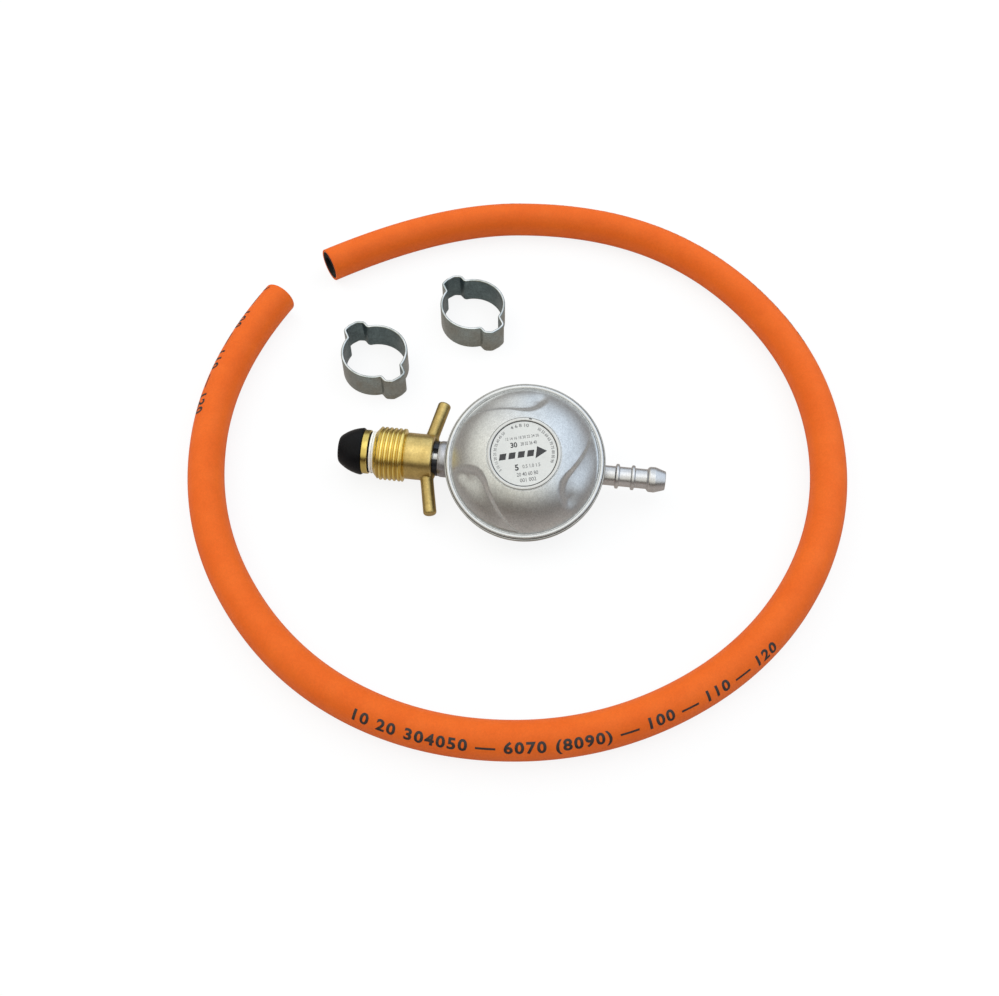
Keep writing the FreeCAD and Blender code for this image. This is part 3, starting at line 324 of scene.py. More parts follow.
def finish(name, colour, second, rough, spread, metal=0.0, blotch=60.0, grain=2500.0,
           grain_tone=0.0, blotch_height=0.3, grain_height=0.5, depth=0.00002, turned=None,
           wear=0.0, worn=None, wear_patch=700.0, scratch=0.0, groove=0.0, groove_shade_colour=None,
           **extra):
    """A material whose colour, gloss and relief vary over the surface at real scales."""
    material = FINISH[name] = bpy.data.materials.new(name)
    material.use_nodes = True
    material.diffuse_color = (*colour, 1)
    tree = material.node_tree
    shader = tree.nodes["Principled BSDF"].inputs
    shader["Metallic"].default_value = metal
    for key, value in extra.items():
        shader[socket_name(key)].default_value = value
    spot = add(tree, "ShaderNodeMapping", {
        "Vector": add(tree, "ShaderNodeTexCoord")["Object"], "Location": SEAT.translation,
        "Rotation": SEAT.to_euler(),
    }, vector_type="TEXTURE")[0]
    detail = place_group(tree, SURFACE, vector=spot, blotch_scale=blotch, grain_scale=grain,
                         blotch_height=blotch_height, grain_height=grain_height)
    body = blend(tree, ranged(tree, detail["Blotch"], *MOSTLY), colour, second)
    fleck = ranged(tree, detail["Grain"], 0.0, 1.0, 1.0 - grain_tone, 1.0 + grain_tone)
    body = blend(tree, 1.0, body, fleck, "MULTIPLY")
    height = detail["Height"]
    smooth, coarse = rough - spread, rough + spread
    gloss = ranged(tree, detail["Blotch"], *MOSTLY, smooth, coarse)
    if turned is not None:
        along = add(tree, "ShaderNodeSeparateXYZ", {0: spot})["X"]
        mark = place_group(tree, TURNING, lines_per_metre=turned, along=along)["Mark"]
        height = reckon(tree, "MULTIPLY_ADD", mark, 0.6, height)
        gloss = ranged(tree, mark, *MOSTLY, smooth, coarse)
    if scratch:
        lines = place_group(tree, SCRATCHES, vector=spot)["Scratch"]
        height = reckon(tree, "MULTIPLY_ADD", lines, -scratch, height)
        gloss = reckon(tree, "MULTIPLY_ADD", lines, 0.12, gloss)
    # Edge wear; on the ear clips' zinc this is a painted highlight instead.
    if wear:
        rubbed = place_group(tree, WEAR_AND_SHEEN, vector=spot, edge=attribute(tree, "edge"),
                             amount=wear, patch_scale=wear_patch)["Wear"]
        body = blend(tree, rubbed, body, worn)
        gloss = reckon(tree, "MULTIPLY_ADD", rubbed, -0.10, gloss)
    # Painted shade: the groove mask darkens the colour towards the shade colour.
    if groove:
        groove_shade_share = reckon(tree, "MULTIPLY", attribute(tree, "groove"), groove)
        body = blend(tree, groove_shade_share, body, groove_shade_colour)
        gloss = reckon(tree, "MULTIPLY_ADD", groove_shade_share, 0.16, gloss)
    bump = add(tree, "ShaderNodeBump", {"Strength": 1.0, "Distance": depth, "Height": height})
    for label, value in (("Normal", bump[0]), ("Base Color", body), ("Roughness", gloss)):
        wire(tree, shader[label], value)


def make_finishes():
    """Each finish: its two colours, roughness and its spread, then what differs."""
    lathed = dict(metal=1.0, blotch=110, grain=2200, grain_tone=0.04, turned=1800,
                  depth=0.000004)
    cast = dict(metal=1.0, blotch=210, grain=1700, worn=(0.74, 0.58, 0.26), scratch=0.3)
    finish("hose_orange", (0.675, 0.121, 0.013), (0.635, 0.104, 0.010), 0.47, 0.06,
           specular_ior_level=0.13, blotch=90, grain=1800, grain_tone=0.04, blotch_height=0.6,
           grain_height=0.25, depth=0.00004)
    finish("hose_black", (0.004, 0.004, 0.004), (0.008, 0.008, 0.007), 0.6, 0.1,
           specular_ior_level=0.1, grain_tone=0.2, depth=0.00004)
    finish("print_black", (0.010, 0.008, 0.008), (0.035, 0.022, 0.016), 0.5, 0.1, blotch=900,
           grain_tone=0.3)
    finish("cover_paint", (0.67, 0.677, 0.667), (0.62, 0.63, 0.625), 0.32, 0.03, metal=0.92,
           blotch=120, grain=2300, grain_tone=0.12, blotch_height=0.1, grain_height=0.9,
           depth=0.000016, wear=0.35, worn=(0.72, 0.72, 0.73))
    # Painted shade: a darker copy of the cover paint for the top of the label's raised ring, which
    # dims the highlight from overhead.
    finish("cover_ring_shaded", (0.48, 0.48, 0.465), (0.44, 0.44, 0.43), 0.30, 0.03, metal=0.92,
           grain=2300, grain_tone=0.06, depth=0.000008)
    finish("casting_paint", (0.44, 0.445, 0.47), (0.38, 0.38, 0.40), 0.36, 0.06, metal=0.9,
           blotch=200, grain=2000, grain_tone=0.16, blotch_height=0.5, grain_height=0.8,
           wear=0.6, worn=(0.70, 0.69, 0.68))
    finish("rim_metal", (0.53, 0.535, 0.53), (0.48, 0.485, 0.485), 0.22, 0.04, metal=0.95,
           blotch=150, grain=2600, grain_tone=0.03, grain_height=0.3, depth=0.000008,
           wear=0.4, worn=(0.78, 0.78, 0.78), scratch=0.5)
    finish("rim_side", (0.40, 0.395, 0.375), (0.32, 0.315, 0.295), 0.36, 0.06, metal=0.9,
           blotch=170, grain=2400, grain_tone=0.10, depth=0.000012, scratch=0.5)
    finish("nozzle_metal", (0.64, 0.64, 0.645), (0.56, 0.555, 0.555), 0.33, 0.06, metal=0.97,
           grain=2600, grain_tone=0.08, turned=5000, depth=0.00001, wear=0.6,
           worn=(0.70, 0.69, 0.67))
    finish("label_face", (0.62, 0.625, 0.605), (0.58, 0.585, 0.57), 0.46, 0.05, metal=0.2,
           blotch=80, grain=3000, grain_tone=0.03, depth=0.000006)
    finish("label_ink", (0.014, 0.014, 0.016), (0.035, 0.035, 0.037), 0.45, 0.08, blotch=1200,
           grain_tone=0.2)
    finish("label_grey_ink", (0.075, 0.075, 0.078), (0.17, 0.17, 0.172), 0.5, 0.08,
           blotch=1500, grain_tone=0.25)
    finish("brass_turned", (0.70, 0.545, 0.165), (0.61, 0.455, 0.12), 0.22, 0.04, wear=0.7,
           worn=(0.90, 0.74, 0.34), **lathed)
    # The thread's grooves darken towards dark brown: painted shade.
    finish("brass_thread", (0.93, 0.745, 0.255), (0.82, 0.62, 0.185), 0.22, 0.04,
           groove=0.50, groove_shade_colour=(0.30, 0.150, 0.022), **lathed)
    finish("brass_cast", (0.665, 0.505, 0.195), (0.54, 0.39, 0.135), 0.31, 0.05,
           grain_tone=0.10, blotch_height=0.8, grain_height=0.35, depth=0.000018, wear=0.6,
           **cast)
    finish("brass_wing", (0.53, 0.395, 0.150), (0.42, 0.300, 0.105), 0.38, 0.06,
           grain_tone=0.12, blotch_height=1.0, grain_height=0.4, depth=0.000022, wear=0.5,
           **cast)
    finish("nose_rubber", (0.0035, 0.0035, 0.004), (0.007, 0.007, 0.008), 0.36, 0.05,
           specular_ior_level=0.09, blotch=140, grain=2400, grain_tone=0.2, depth=0.000008)
    finish("white_plastic", (0.82, 0.81, 0.78), (0.76, 0.745, 0.70), 0.4, 0.06, blotch=160,
           grain_tone=0.04)
    finish("clip_black", (0.008, 0.010, 0.013), (0.022, 0.026, 0.034), 0.26, 0.06, metal=0.3,
           grain_tone=0.2, wear=0.5, worn=(0.10, 0.11, 0.12))
    # The zinc's worn colour, on the mask the ear clips give their strip, is a painted highlight.
    finish("zinc", (0.325, 0.385, 0.385), (0.300, 0.305, 0.270), 0.30, 0.08, metal=1.0,
           blotch=110, grain=1400, grain_tone=0.12, blotch_height=1.0, grain_height=0.3,
           depth=0.00001, wear=1.0, worn=(0.80, 0.80, 0.79), wear_patch=130.0, scratch=0.4)
    # Painted shade: a darker copy of the zinc for the clips' inner face, where less light reaches.
    finish("zinc_shaded_inside", (0.175, 0.240, 0.255), (0.135, 0.182, 0.195), 0.36, 0.08, metal=0.9,
           blotch=240, grain=1400, grain_tone=0.14, blotch_height=1.0, scratch=0.3)
    finish("steel", (0.56, 0.56, 0.57), (0.48, 0.48, 0.50), 0.3, 0.08, metal=1.0, turned=3000,
           depth=0.00001)
    finish("soft_rubber", (0.02, 0.02, 0.02), (0.035, 0.034, 0.033), 0.7, 0.08, grain_tone=0.2)
    finish("dark_plastic", (0.03, 0.03, 0.032), (0.05, 0.05, 0.052), 0.5, 0.08,
           grain_tone=0.15)


bpy.context.scene.view_settings.view_transform = "Standard"
set_camera()
set_floor()
set_sky()
set_lamp(-1, (1.0, 0.98, 0.95))
set_lamp(1, (0.95, 0.97, 1.0))
make_finishes()


# Making pieces.


@contextmanager
def editing(mesh):
    """A bmesh of the mesh, written back to it afterwards."""
    work = bmesh.new()
    work.from_mesh(mesh)
    yield work
    work.to_mesh(mesh)
    work.free()


def mesh_from(name, points, faces):
    mesh = bpy.data.meshes.new(name)
    mesh.from_pydata([tuple(p) for p in points], [], faces)
    return mesh


def mask(mesh, name, values):
    """A value for each point that a finish reads by its name."""
    layer = mesh.attributes.new(name, "FLOAT", "POINT")
    layer.data.foreach_set("value", values)


def piece(name, points, faces, material, edges=None, sharp=38):
    """A mesh piece whose points are already in their place, in metres."""
    mesh = mesh_from(name, points, faces)
    if edges is not None:
        mask(mesh, "edge", edges)
    finish_mesh(mesh, material, sharp)
    return linked(name, mesh)


def finish_mesh(mesh, material, sharp=38):
    """Close the poles and seams, point faces outwards and smooth them."""
    with editing(mesh) as work:
        bmesh.ops.remove_doubles(work, verts=work.verts, dist=TOUCHING)
        inside_out = work.calc_volume(signed=True) < 0
    if inside_out:
        mesh.flip_normals()
    mesh.materials.clear()
    mesh.materials.append(FINISH[material])
    mesh.shade_smooth()
    mesh.set_sharp_from_angle(angle=radians(sharp))


def settle(made, slot, *nodes, body="regulator"):
    """Ride on a body and stand for CAD nodes; the slot is not used."""
    if nodes:
        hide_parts(*nodes)
    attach(made, body)


def around(steps):
    """The angles of equal steps round a circle."""
    return [2 * pi * j / steps for j in range(steps)]


def tube_faces(count, width, closed=True):
    """Faces between rows of points; every row is a ring, and the rows may be one too."""
    faces = []
    for i in range(count if closed else count - 1):
        k = (i + 1) % count
        for j in range(width):
            m = (j + 1) % width
            faces.append((i * width + j, k * width + j, k * width + m, i * width + m))
    return faces


def bend_corner(before, corner, after, radius, steps):
    """Points of a tangent arc at one corner of an outline, and how worn each may be."""
    straight, share = 0.02, 0.48
    first = (corner - before).normalized()
    second = (after - corner).normalized()
    turn = atan2(first.x * second.y - first.y * second.x, first.dot(second))
    if radius <= 0 or abs(turn) < straight:
        return [(corner, 0.0)]
    reach = min(radius * tan(abs(turn) / 2), share * (corner - before).length,
                share * (after - corner).length)
    radius = reach / tan(abs(turn) / 2)
    sign = 1 if turn > 0 else -1
    side = Vector((first.y, -first.x))
    centre = corner - first * reach - side * radius * sign
    found = []
    for i in range(steps + 1):
        angle = turn * i / steps
        out = Vector((
            side.x * cos(angle) - side.y * sin(angle),
            side.x * sin(angle) + side.y * cos(angle),
        ))
        worn = sin(pi * i / steps) if turn > 0 else 0.0
        found.append((centre + out * radius * sign, worn))
    return found


def rounded(corners, steps=6):
    """A closed outline of (x, y, rounding), counter-clockwise, as (point, wear); a corner
    without a rounding takes the usual one."""
    usual = 0.12
    flat = [Vector(c[:2]) for c in corners]
    found = []
    for i, corner in enumerate(corners):
        radius = corner[2] if len(corner) > 2 else usual
        found += bend_corner(flat[i - 1], flat[i], flat[(i + 1) % len(flat)], radius, steps)
    return found


def bow(start, end, radius, count):
    """Points between two on an arc; a positive radius bulges to the right of the way."""
    start, end = Vector(start), Vector(end)
    chord = end - start
    side = Vector((-chord.y, chord.x)).normalized()
    away = sqrt(radius * radius - chord.length_squared / 4)
    centre = (start + end) / 2 + side * (away if radius > 0 else -away)
    first = atan2(start.y - centre.y, start.x - centre.x)
    last = atan2(end.y - centre.y, end.x - centre.x)
    while last - first > pi:
        last -= 2 * pi
    while last - first < -pi:
        last += 2 * pi
    return [
        (centre.x + abs(radius) * cos(first + (last - first) * i / count),
         centre.y + abs(radius) * sin(first + (last - first) * i / count), 0)
        for i in range(1, count)
    ]


def turned(name, corners, material, axis="x", steps=128, seat=SEAT, rounding=5):
    """A turned piece. Along X a section is (x, radius), along Z it is (radius, z), both
    in millimetres with a rounding, and counter-clockwise."""
    section = rounded(corners, rounding)
    points = []
    for spot, _ in section:
        for a in around(steps):
            local = (spot.x, *polar(spot.y, a)) if axis == "x" else (*polar(spot.x, a), spot.y)
            points.append(seat @ (Vector(local) * MM))
    edges = [worn for _, worn in section for _ in range(steps)]
    return piece(name, points, tube_faces(len(section), steps), material, edges)


def swept(name, stations, section, material, seat=SEAT, closed=False):
    """A section carried along stations of (place, across, scale, wear), its y upwards."""
    points, edges, width = [], [], len(section)
    for place, across, scale, rubbed in stations:
        for spot, worn in section:
            points.append(seat @ ((place + across * spot.x * scale + UP * spot.y * scale) * MM))
            edges.append(max(worn, rubbed))
    count = len(stations)
    faces = tube_faces(count, width, closed)
    if not closed:
        faces.append(tuple(range(width)))
        faces.append(tuple((count - 1) * width + j for j in reversed(range(width))))
    return piece(name, points, faces, material, edges)


def spline(curve, kind, places):
    line = curve.splines.new(kind)
    line.points.add(len(places) - 1)
    for point, place in zip(line.points, places):
        point.co = (*place, 1)
    return line


def plate(name, outline, holes, thick, material, seat):
    """A flat plate with round holes and softened edges, in millimetres."""
    edge = 0.15
    curve = bpy.data.curves.new(name, "CURVE")
    curve.dimensions = "2D"
    curve.fill_mode = "BOTH"
    curve.extrude = thick / 2 - edge
    curve.bevel_depth = edge
    curve.bevel_resolution = 2
    curve.offset = -edge
    loops = [[spot for spot, _ in rounded(outline)]]
    for x, y, radius in holes:
        loops.append([(x + radius * cos(-a), y + radius * sin(-a)) for a in around(40)])
    for loop in loops:
        spline(curve, "POLY", [(*spot, 0) for spot in loop]).use_cyclic_u = True
    mesh = solid_of(curve)
    mesh.transform(seat @ Matrix.Scale(MM, 4))
    mesh.name = name
    finish_mesh(mesh, material)
    return linked(name, mesh)


def mesh_of(holder):
    """The mesh that an object shows, as plain data; the object is then removed."""
    bpy.context.view_layer.update()
    seen = holder.evaluated_get(bpy.context.evaluated_depsgraph_get())
    mesh = bpy.data.meshes.new_from_object(seen)
    bpy.data.objects.remove(holder)
    return mesh


def solid_of(curve):
    """The mesh of a curve or text, whose data is then removed."""
    mesh = mesh_of(linked("drawn", curve))
    bpy.data.curves.remove(curve)
    return mesh


def merged(name, meshes):
    """One mesh of several, which are then removed."""
    work = bmesh.new()
    for one in meshes:
        work.from_mesh(one)
        bpy.data.meshes.remove(one)
    mesh = bpy.data.meshes.new(name)
    work.to_mesh(mesh)
    work.free()
    return mesh


def joined(name, pieces):
    """Several loose pieces of one finish as one piece."""
    meshes = [one.data for one in pieces]
    materials = meshes[0].materials[:]
    for one in pieces:
        bpy.data.objects.remove(one)
    mesh = merged(name, meshes)
    for material in materials:
        mesh.materials.append(material)
    return linked(name, mesh)


# Shapes that follow a rule, grown by geometry nodes.


def rule_tree(name, inputs):
    """An empty geometry tree with named inputs; gives it and its input sockets."""
    tree = bpy.data.node_groups.new(name, "GeometryNodeTree")
    for label, value in inputs.items():
        add_socket(tree, label, "Int" if isinstance(value, int) else "Float", value)
    add_socket(tree, "Material", "Material")
    add_socket(tree, "Geometry", "Geometry", way="OUTPUT")
    return tree, add(tree, "NodeGroupInput")


def finish_tree(tree, geometry, start):
    """Every tree ends in Realize Instances and Set Material."""
    real = add(tree, "GeometryNodeRealizeInstances", {0: geometry})
    cloth = add(tree, "GeometryNodeSetMaterial", {
        "Geometry": real[0], "Material": start["Material"],
    })
    add(tree, "NodeGroupOutput", {"Geometry": cloth[0]})
    return tree


def grown(name, tree, material, seat, **values):
    """The plain mesh piece that a geometry tree makes with the given sizes."""
    empty = bpy.data.meshes.new(name)
    holder = linked(name, empty)
    rule = holder.modifiers.new("rule", "NODES")
    rule.node_group = tree
    values = {socket_name(key): value for key, value in values.items()}
    values["Material"] = FINISH[material]
    for item in tree.interface.items_tree:
        if item.item_type == "SOCKET" and item.in_out == "INPUT" and item.name in values:
            rule[item.identifier] = values[item.name]
    mesh = mesh_of(holder)
    bpy.data.meshes.remove(empty)
    mesh.name = name
    mesh.transform(seat)
    return linked(name, mesh)


def position_parts(tree):
    """X, Y and Z of each point as three fields."""
    return add(tree, "ShaderNodeSeparateXYZ", {0: add(tree, "GeometryNodeInputPosition")[0]})


def moved(tree, geometry, *place):
    join = add(tree, "ShaderNodeCombineXYZ", enumerate(place))[0]
    return add(tree, "GeometryNodeSetPosition", {"Geometry": geometry, "Position": join})[0]


def thread_rule():
    """A male left-hand thread with a chamfered start, and a shoulder down to the hub."""
    tree, start = rule_tree("left_hand_thread", {
        "Length": 0.0148, "Pitch": 0.0018, "Depth": 0.0010, "Crest Radius": 0.01135,
        "Front Radius": 0.0090, "Chamfer": 0.0018, "Shoulder": 0.0010, "Hub Radius": 0.0096,
        "Bore Radius": 0.0055, "Rows": 240, "Round": 161,
    })
    calc, eased = partial(reckon, tree), partial(ranged, tree, kind="SMOOTHSTEP")
    length, crest = start["Length"], start["Crest Radius"]
    grid = add(tree, "GeometryNodeMeshGrid", {
        "Size X": 1.0, "Size Y": 1.0, "Vertices X": start["Rows"], "Vertices Y": start["Round"],
    })["Mesh"]
    x, y, _ = position_parts(tree)
    # The rows run a little past both ends, where they turn in towards the bore.
    margin, steepness = 0.00014, 60.0
    raw = calc("MULTIPLY_ADD", calc("ADD", x, 0.5), calc("ADD", length, 2 * margin), -margin)
    along = calc("MINIMUM", calc("MAXIMUM", raw, 0.0), length)
    before, after = calc("MULTIPLY", raw, -1.0), calc("SUBTRACT", raw, length)
    past = calc("MAXIMUM", calc("MAXIMUM", before, after), 0.0)
    # The groove winds left-hand: its phase grows with the length and the angle.
    angle = calc("MULTIPLY_ADD", y, 2 * pi, pi)
    turns = calc("DIVIDE", angle, 2 * pi)
    phase = calc("ADD", calc("DIVIDE", along, start["Pitch"]), turns)
    phase = calc("FRACT", calc("ADD", phase, 20.0))
    peak = calc("ABSOLUTE", calc("MULTIPLY_ADD", phase, 2.0, -1.0))
    groove = eased(peak, 0.14, 0.82, 1.0, 0.0)
    # It fades out where the shoulder begins.
    soft = 0.0001
    thread_end = calc("SUBTRACT", length, start["Shoulder"])
    fading = eased(calc("SUBTRACT", thread_end, along), -soft, 0.0006)
    cut = calc("MULTIPLY", calc("MULTIPLY", groove, start["Depth"]), fading)
    thread = calc("SUBTRACT", crest, cut)
    chamfer = ranged(tree, along, 0.0, start["Chamfer"], start["Front Radius"], crest)
    shoulder = eased(along, calc("ADD", thread_end, soft), calc("SUBTRACT", length, soft),
                     crest, start["Hub Radius"])
    radius = calc("MINIMUM", calc("MINIMUM", thread, chamfer), shoulder)
    radius = calc("SUBTRACT", radius, calc("MULTIPLY", past, steepness))
    radius = calc("MAXIMUM", radius, start["Bore Radius"])
    geometry = moved(tree, grid, along, calc("MULTIPLY", radius, calc("COSINE", angle)),
                     calc("MULTIPLY", radius, calc("SINE", angle)))
    sewn = add(tree, "GeometryNodeMergeByDistance", {"Geometry": geometry, "Distance": TOUCHING})
    return finish_tree(tree, sewn[0], start)


def bar_rule():
    """A row of equal slanting bars."""
    tree, start = rule_tree("bar_row", {
        "Count": 4, "Spacing": 0.0036, "Bar Length": 0.0026, "Bar Height": 0.0025, "Lean": 0.28,
    })
    row = add(tree, "GeometryNodeMeshLine", {"Count": start["Count"]})[0]
    index = add(tree, "GeometryNodeInputIndex")[0]
    row = moved(tree, row, reckon(tree, "MULTIPLY", index, start["Spacing"]), 0.0, 0.0)
    bar = add(tree, "GeometryNodeMeshGrid", {
        "Size X": start["Bar Length"], "Size Y": start["Bar Height"], "Vertices X": 2,
        "Vertices Y": 2,
    })["Mesh"]
    x, y, _ = position_parts(tree)
    bar = moved(tree, bar, reckon(tree, "MULTIPLY_ADD", y, start["Lean"], x), y, 0.0)
    copies = add(tree, "GeometryNodeInstanceOnPoints", {"Points": row, "Instance": bar})
    return finish_tree(tree, copies[0], start)


# The hose, its lining and the length marks printed on it.

# The route of the hose on the floor, from the end by the ear clips, clockwise.
ROUTE = [(x, y, 0.0075) for x, y in (
    (-0.0860, 0.1020), (-0.0365, 0.1315), (0.0395, 0.1315), (0.0940, 0.1000),
    (0.1295, 0.0390), (0.1295, -0.0345), (0.0940, -0.0960), (0.0325, -0.1315),
    (-0.0365, -0.1315), (-0.0930, -0.0990), (-0.1295, -0.0355), (-0.1295, 0.0425),
    (-0.1070, 0.0825),
)]
COVER_RADIUS, LINING_RADIUS, BORE_RADIUS = 0.00746, 0.0063, 0.0040
# The length marks: what a row says, how long it is, and where along the hose each begins.
MARKS = "10 20 304050 — 6070 (8090) — 100 — 110 — 120"
MARKS_LENGTH = 0.163
MARKS_STARTS = (0.884, 0.5635, 0.2480)
# Degrees of the marks above the hose's outer side. The hose is twisted, so nearer its
# first end than TWIST_FROM they sink by TWIST degrees per metre, at most MOST_TWIST.
MARKS_ANGLE, TWIST_FROM, TWIST, MOST_TWIST = 47.0, 0.450, 131, 19.0


def spline_points(route):
    """Points of the smooth line that a hose with this route follows."""
    curve = bpy.data.curves.new("hose_route", "CURVE")
    curve.dimensions = "3D"
    line = spline(curve, "NURBS", route)
    line.order_u = 3
    line.use_endpoint_u = True
    line.resolution_u = 26
    mesh = solid_of(curve)
    points = [v.co.copy() for v in mesh.vertices]
    bpy.data.meshes.remove(mesh)
    return points


class Line:
    """The hose's centreline: its place and outward side at any length."""

    def __init__(self, points):
        self.points = points
        self.along = [0.0]
        for a, b in zip(points, points[1:]):
            self.along.append(self.along[-1] + (b - a).length)
        self.length = self.along[-1]
        ends = [points[0], *points, points[-1]]
        self.ways = [(b - a).normalized() for a, b in zip(ends, ends[2:])]

    def at(self, along):
        along = min(max(along, 0.0), self.length)
        high = min(bisect_right(self.along, along), len(self.along) - 1)
        low = high - 1
        share = (along - self.along[low]) / (self.along[high] - self.along[low])
        way = self.ways[low].lerp(self.ways[high], share).normalized()
        outward = Vector((-way.y, way.x, 0)).normalized()
        return self.points[low].lerp(self.points[high], share), outward


def pipe(name, line, outer, inner, material, steps=56, edge=0.0003):
    """A pipe along the line, with its bore, flat ends and softened edges."""
    inside = [s for s in line.along if edge * 1.5 < s < line.length - edge * 1.5]
    bend = []
    for turn in (0.0, 0.35 * pi / 2, 0.7 * pi / 2, pi / 2):
        bend.append((edge * (1 - cos(turn)), outer - edge + edge * sin(turn)))
    rings = bend + [(s, outer) for s in inside]
    rings += [(line.length - s, radius) for s, radius in reversed(bend)]
    rings += [(line.length, inner + edge / 2), (line.length - edge / 2, inner)]
    rings += [(s, inner) for s in reversed(inside)]
    rings += [(edge / 2, inner), (0.0, inner + edge / 2)]
    points = []
    for along, radius in rings:
        place, outward = line.at(along)
        for a in around(steps):
            points.append(place + (outward * cos(a) + UP * sin(a)) * radius)
    made = piece(name, points, tube_faces(len(rings), steps), material, sharp=50)
    layer = made.data.uv_layers.new(name="along_and_round")
    for face in made.data.polygons:
        rounds = [v % steps for v in face.vertices]
        seam = max(rounds) - min(rounds) > 1
        for corner, v, at in zip(face.loop_indices, face.vertices, rounds):
            turn = 1.0 if seam and at == 0 else at / steps
            layer.data[corner].uv = (rings[v // steps][0] / line.length, turn)
    return made


def span(mesh):
    """The least and the greatest x of a mesh."""
    across = [v.co.x for v in mesh.vertices]
    return min(across), max(across)


def flat_words(words, height, bold=0.0, spread=1.0):
    """Plain figures as a flat mesh in metres, centred, of the given figure height."""
    text = bpy.data.curves.new("figures", "FONT")
    text.body = words
    text.size = 1.0
    text.offset = bold
    text.space_character = spread
    text.resolution_u = 4
    mesh = solid_of(text)
    left, right = span(mesh)
    figure = 0.70
    centre = Matrix.Translation((-(left + right) / 2, -figure / 2, 0))
    mesh.transform(Matrix.Scale(height / figure, 4) @ centre)
    return mesh


def slice_mesh(mesh, *steps):
    """Cut a flat mesh into strips so that it can follow a curved surface."""
    with editing(mesh) as work:
        bmesh.ops.remove_doubles(work, verts=work.verts, dist=TOUCHING)
        for axis, step in enumerate(steps):
            low = min(v.co[axis] for v in work.verts)
            high = max(v.co[axis] for v in work.verts)
            across = Vector((1 - axis, axis, 0))
            for i in range(int((high - low) / step)):
                bmesh.ops.bisect_plane(
                    work, geom=work.verts[:] + work.edges[:] + work.faces[:],
                    plane_co=across * (low + (i + 1) * step), plane_no=across)


def hose_prints(line):
    """Three rows of plain length marks, printed along the hose's outer side."""
    source = flat_words(MARKS, 0.0042, 0.035, 1.20)
    slice_mesh(source, 0.003, 0.0006)
    left, right = span(source)
    stretch = MARKS_LENGTH / (right - left)
    lift, end_gap = 0.00004, 0.0008
    points, faces = [], []
    for first in MARKS_STARTS:
        kept = {}
        for v in source.vertices:
            along = first - MARKS_LENGTH / 2 - v.co.x * stretch
            if along > line.length - end_gap:
                continue
            place, outward = line.at(along)
            sunk = min(max(0.0, TWIST_FROM - along) * TWIST, MOST_TWIST)
            angle = radians(MARKS_ANGLE - sunk) + v.co.y / COVER_RADIUS
            away = outward * cos(angle) + UP * sin(angle)
            kept[v.index] = len(points)
            points.append(place + away * (COVER_RADIUS + lift))
        for face in source.polygons:
            if all(i in kept for i in face.vertices):
                faces.append([kept[i] for i in face.vertices])
    bpy.data.meshes.remove(source)
    mesh = mesh_from("length_marks", points, faces)
    mesh.materials.append(FINISH["print_black"])
    return linked("length_marks", mesh)


def make_hose():
    line = Line(spline_points(ROUTE))
    cover = pipe("hose_rubber", line, COVER_RADIUS, LINING_RADIUS, "hose_orange")
    lining = pipe("hose_lining", line, LINING_RADIUS, BORE_RADIUS, "hose_black", 40, 0.0002)
    marks = hose_prints(line)
    settle(cover, "hose_orange", "hose_cover")
    settle(lining, "hose_black", "hose_liner")
    settle(marks, "hose_black")
    for one in (cover, lining, marks):
        one.visible_glossy = False


# The regulator's housing, in millimetres.

DOME_MIDDLE = -12.31
DOME_RADIUS = 38.0
DOME_EDGE = 29.57
LIP_FLOOR = 10.74
# One swirl of the dome from its hook to its tail: degrees round the middle, radius.
SWIRL = [
    (-1.2, 30.6), (0, 27.4), (0.8, 24.5), (4, 21.6), (11, 19.5), (22, 19.1), (34, 20.4),
    (45.5, 22.4), (56, 24.9), (66, 27.5), (75, 29.4),
]
SWIRL_STARTS = [-43.5, 76.5, 196.5]
SWIRL_DEPTH = 1.15


def smooth_step(low, high, value):
    share = min(max((value - low) / (high - low), 0.0), 1.0)
    return share * share * (3 - 2 * share)


def through(knots, count):
    """A smooth line through the knots."""
    line = []
    for i in range(len(knots) - 1):
        a, b = knots[max(i - 1, 0)], knots[i]
        c, d = knots[i + 1], knots[min(i + 2, len(knots) - 1)]
        for j in range(count):
            t = j / count
            line.append(0.5 * (
                2 * b + (c - a) * t + (2 * a - 5 * b + 4 * c - d) * t * t
                + (3 * b - a - 3 * c + d) * t * t * t
            ))
    return line + [knots[-1]]


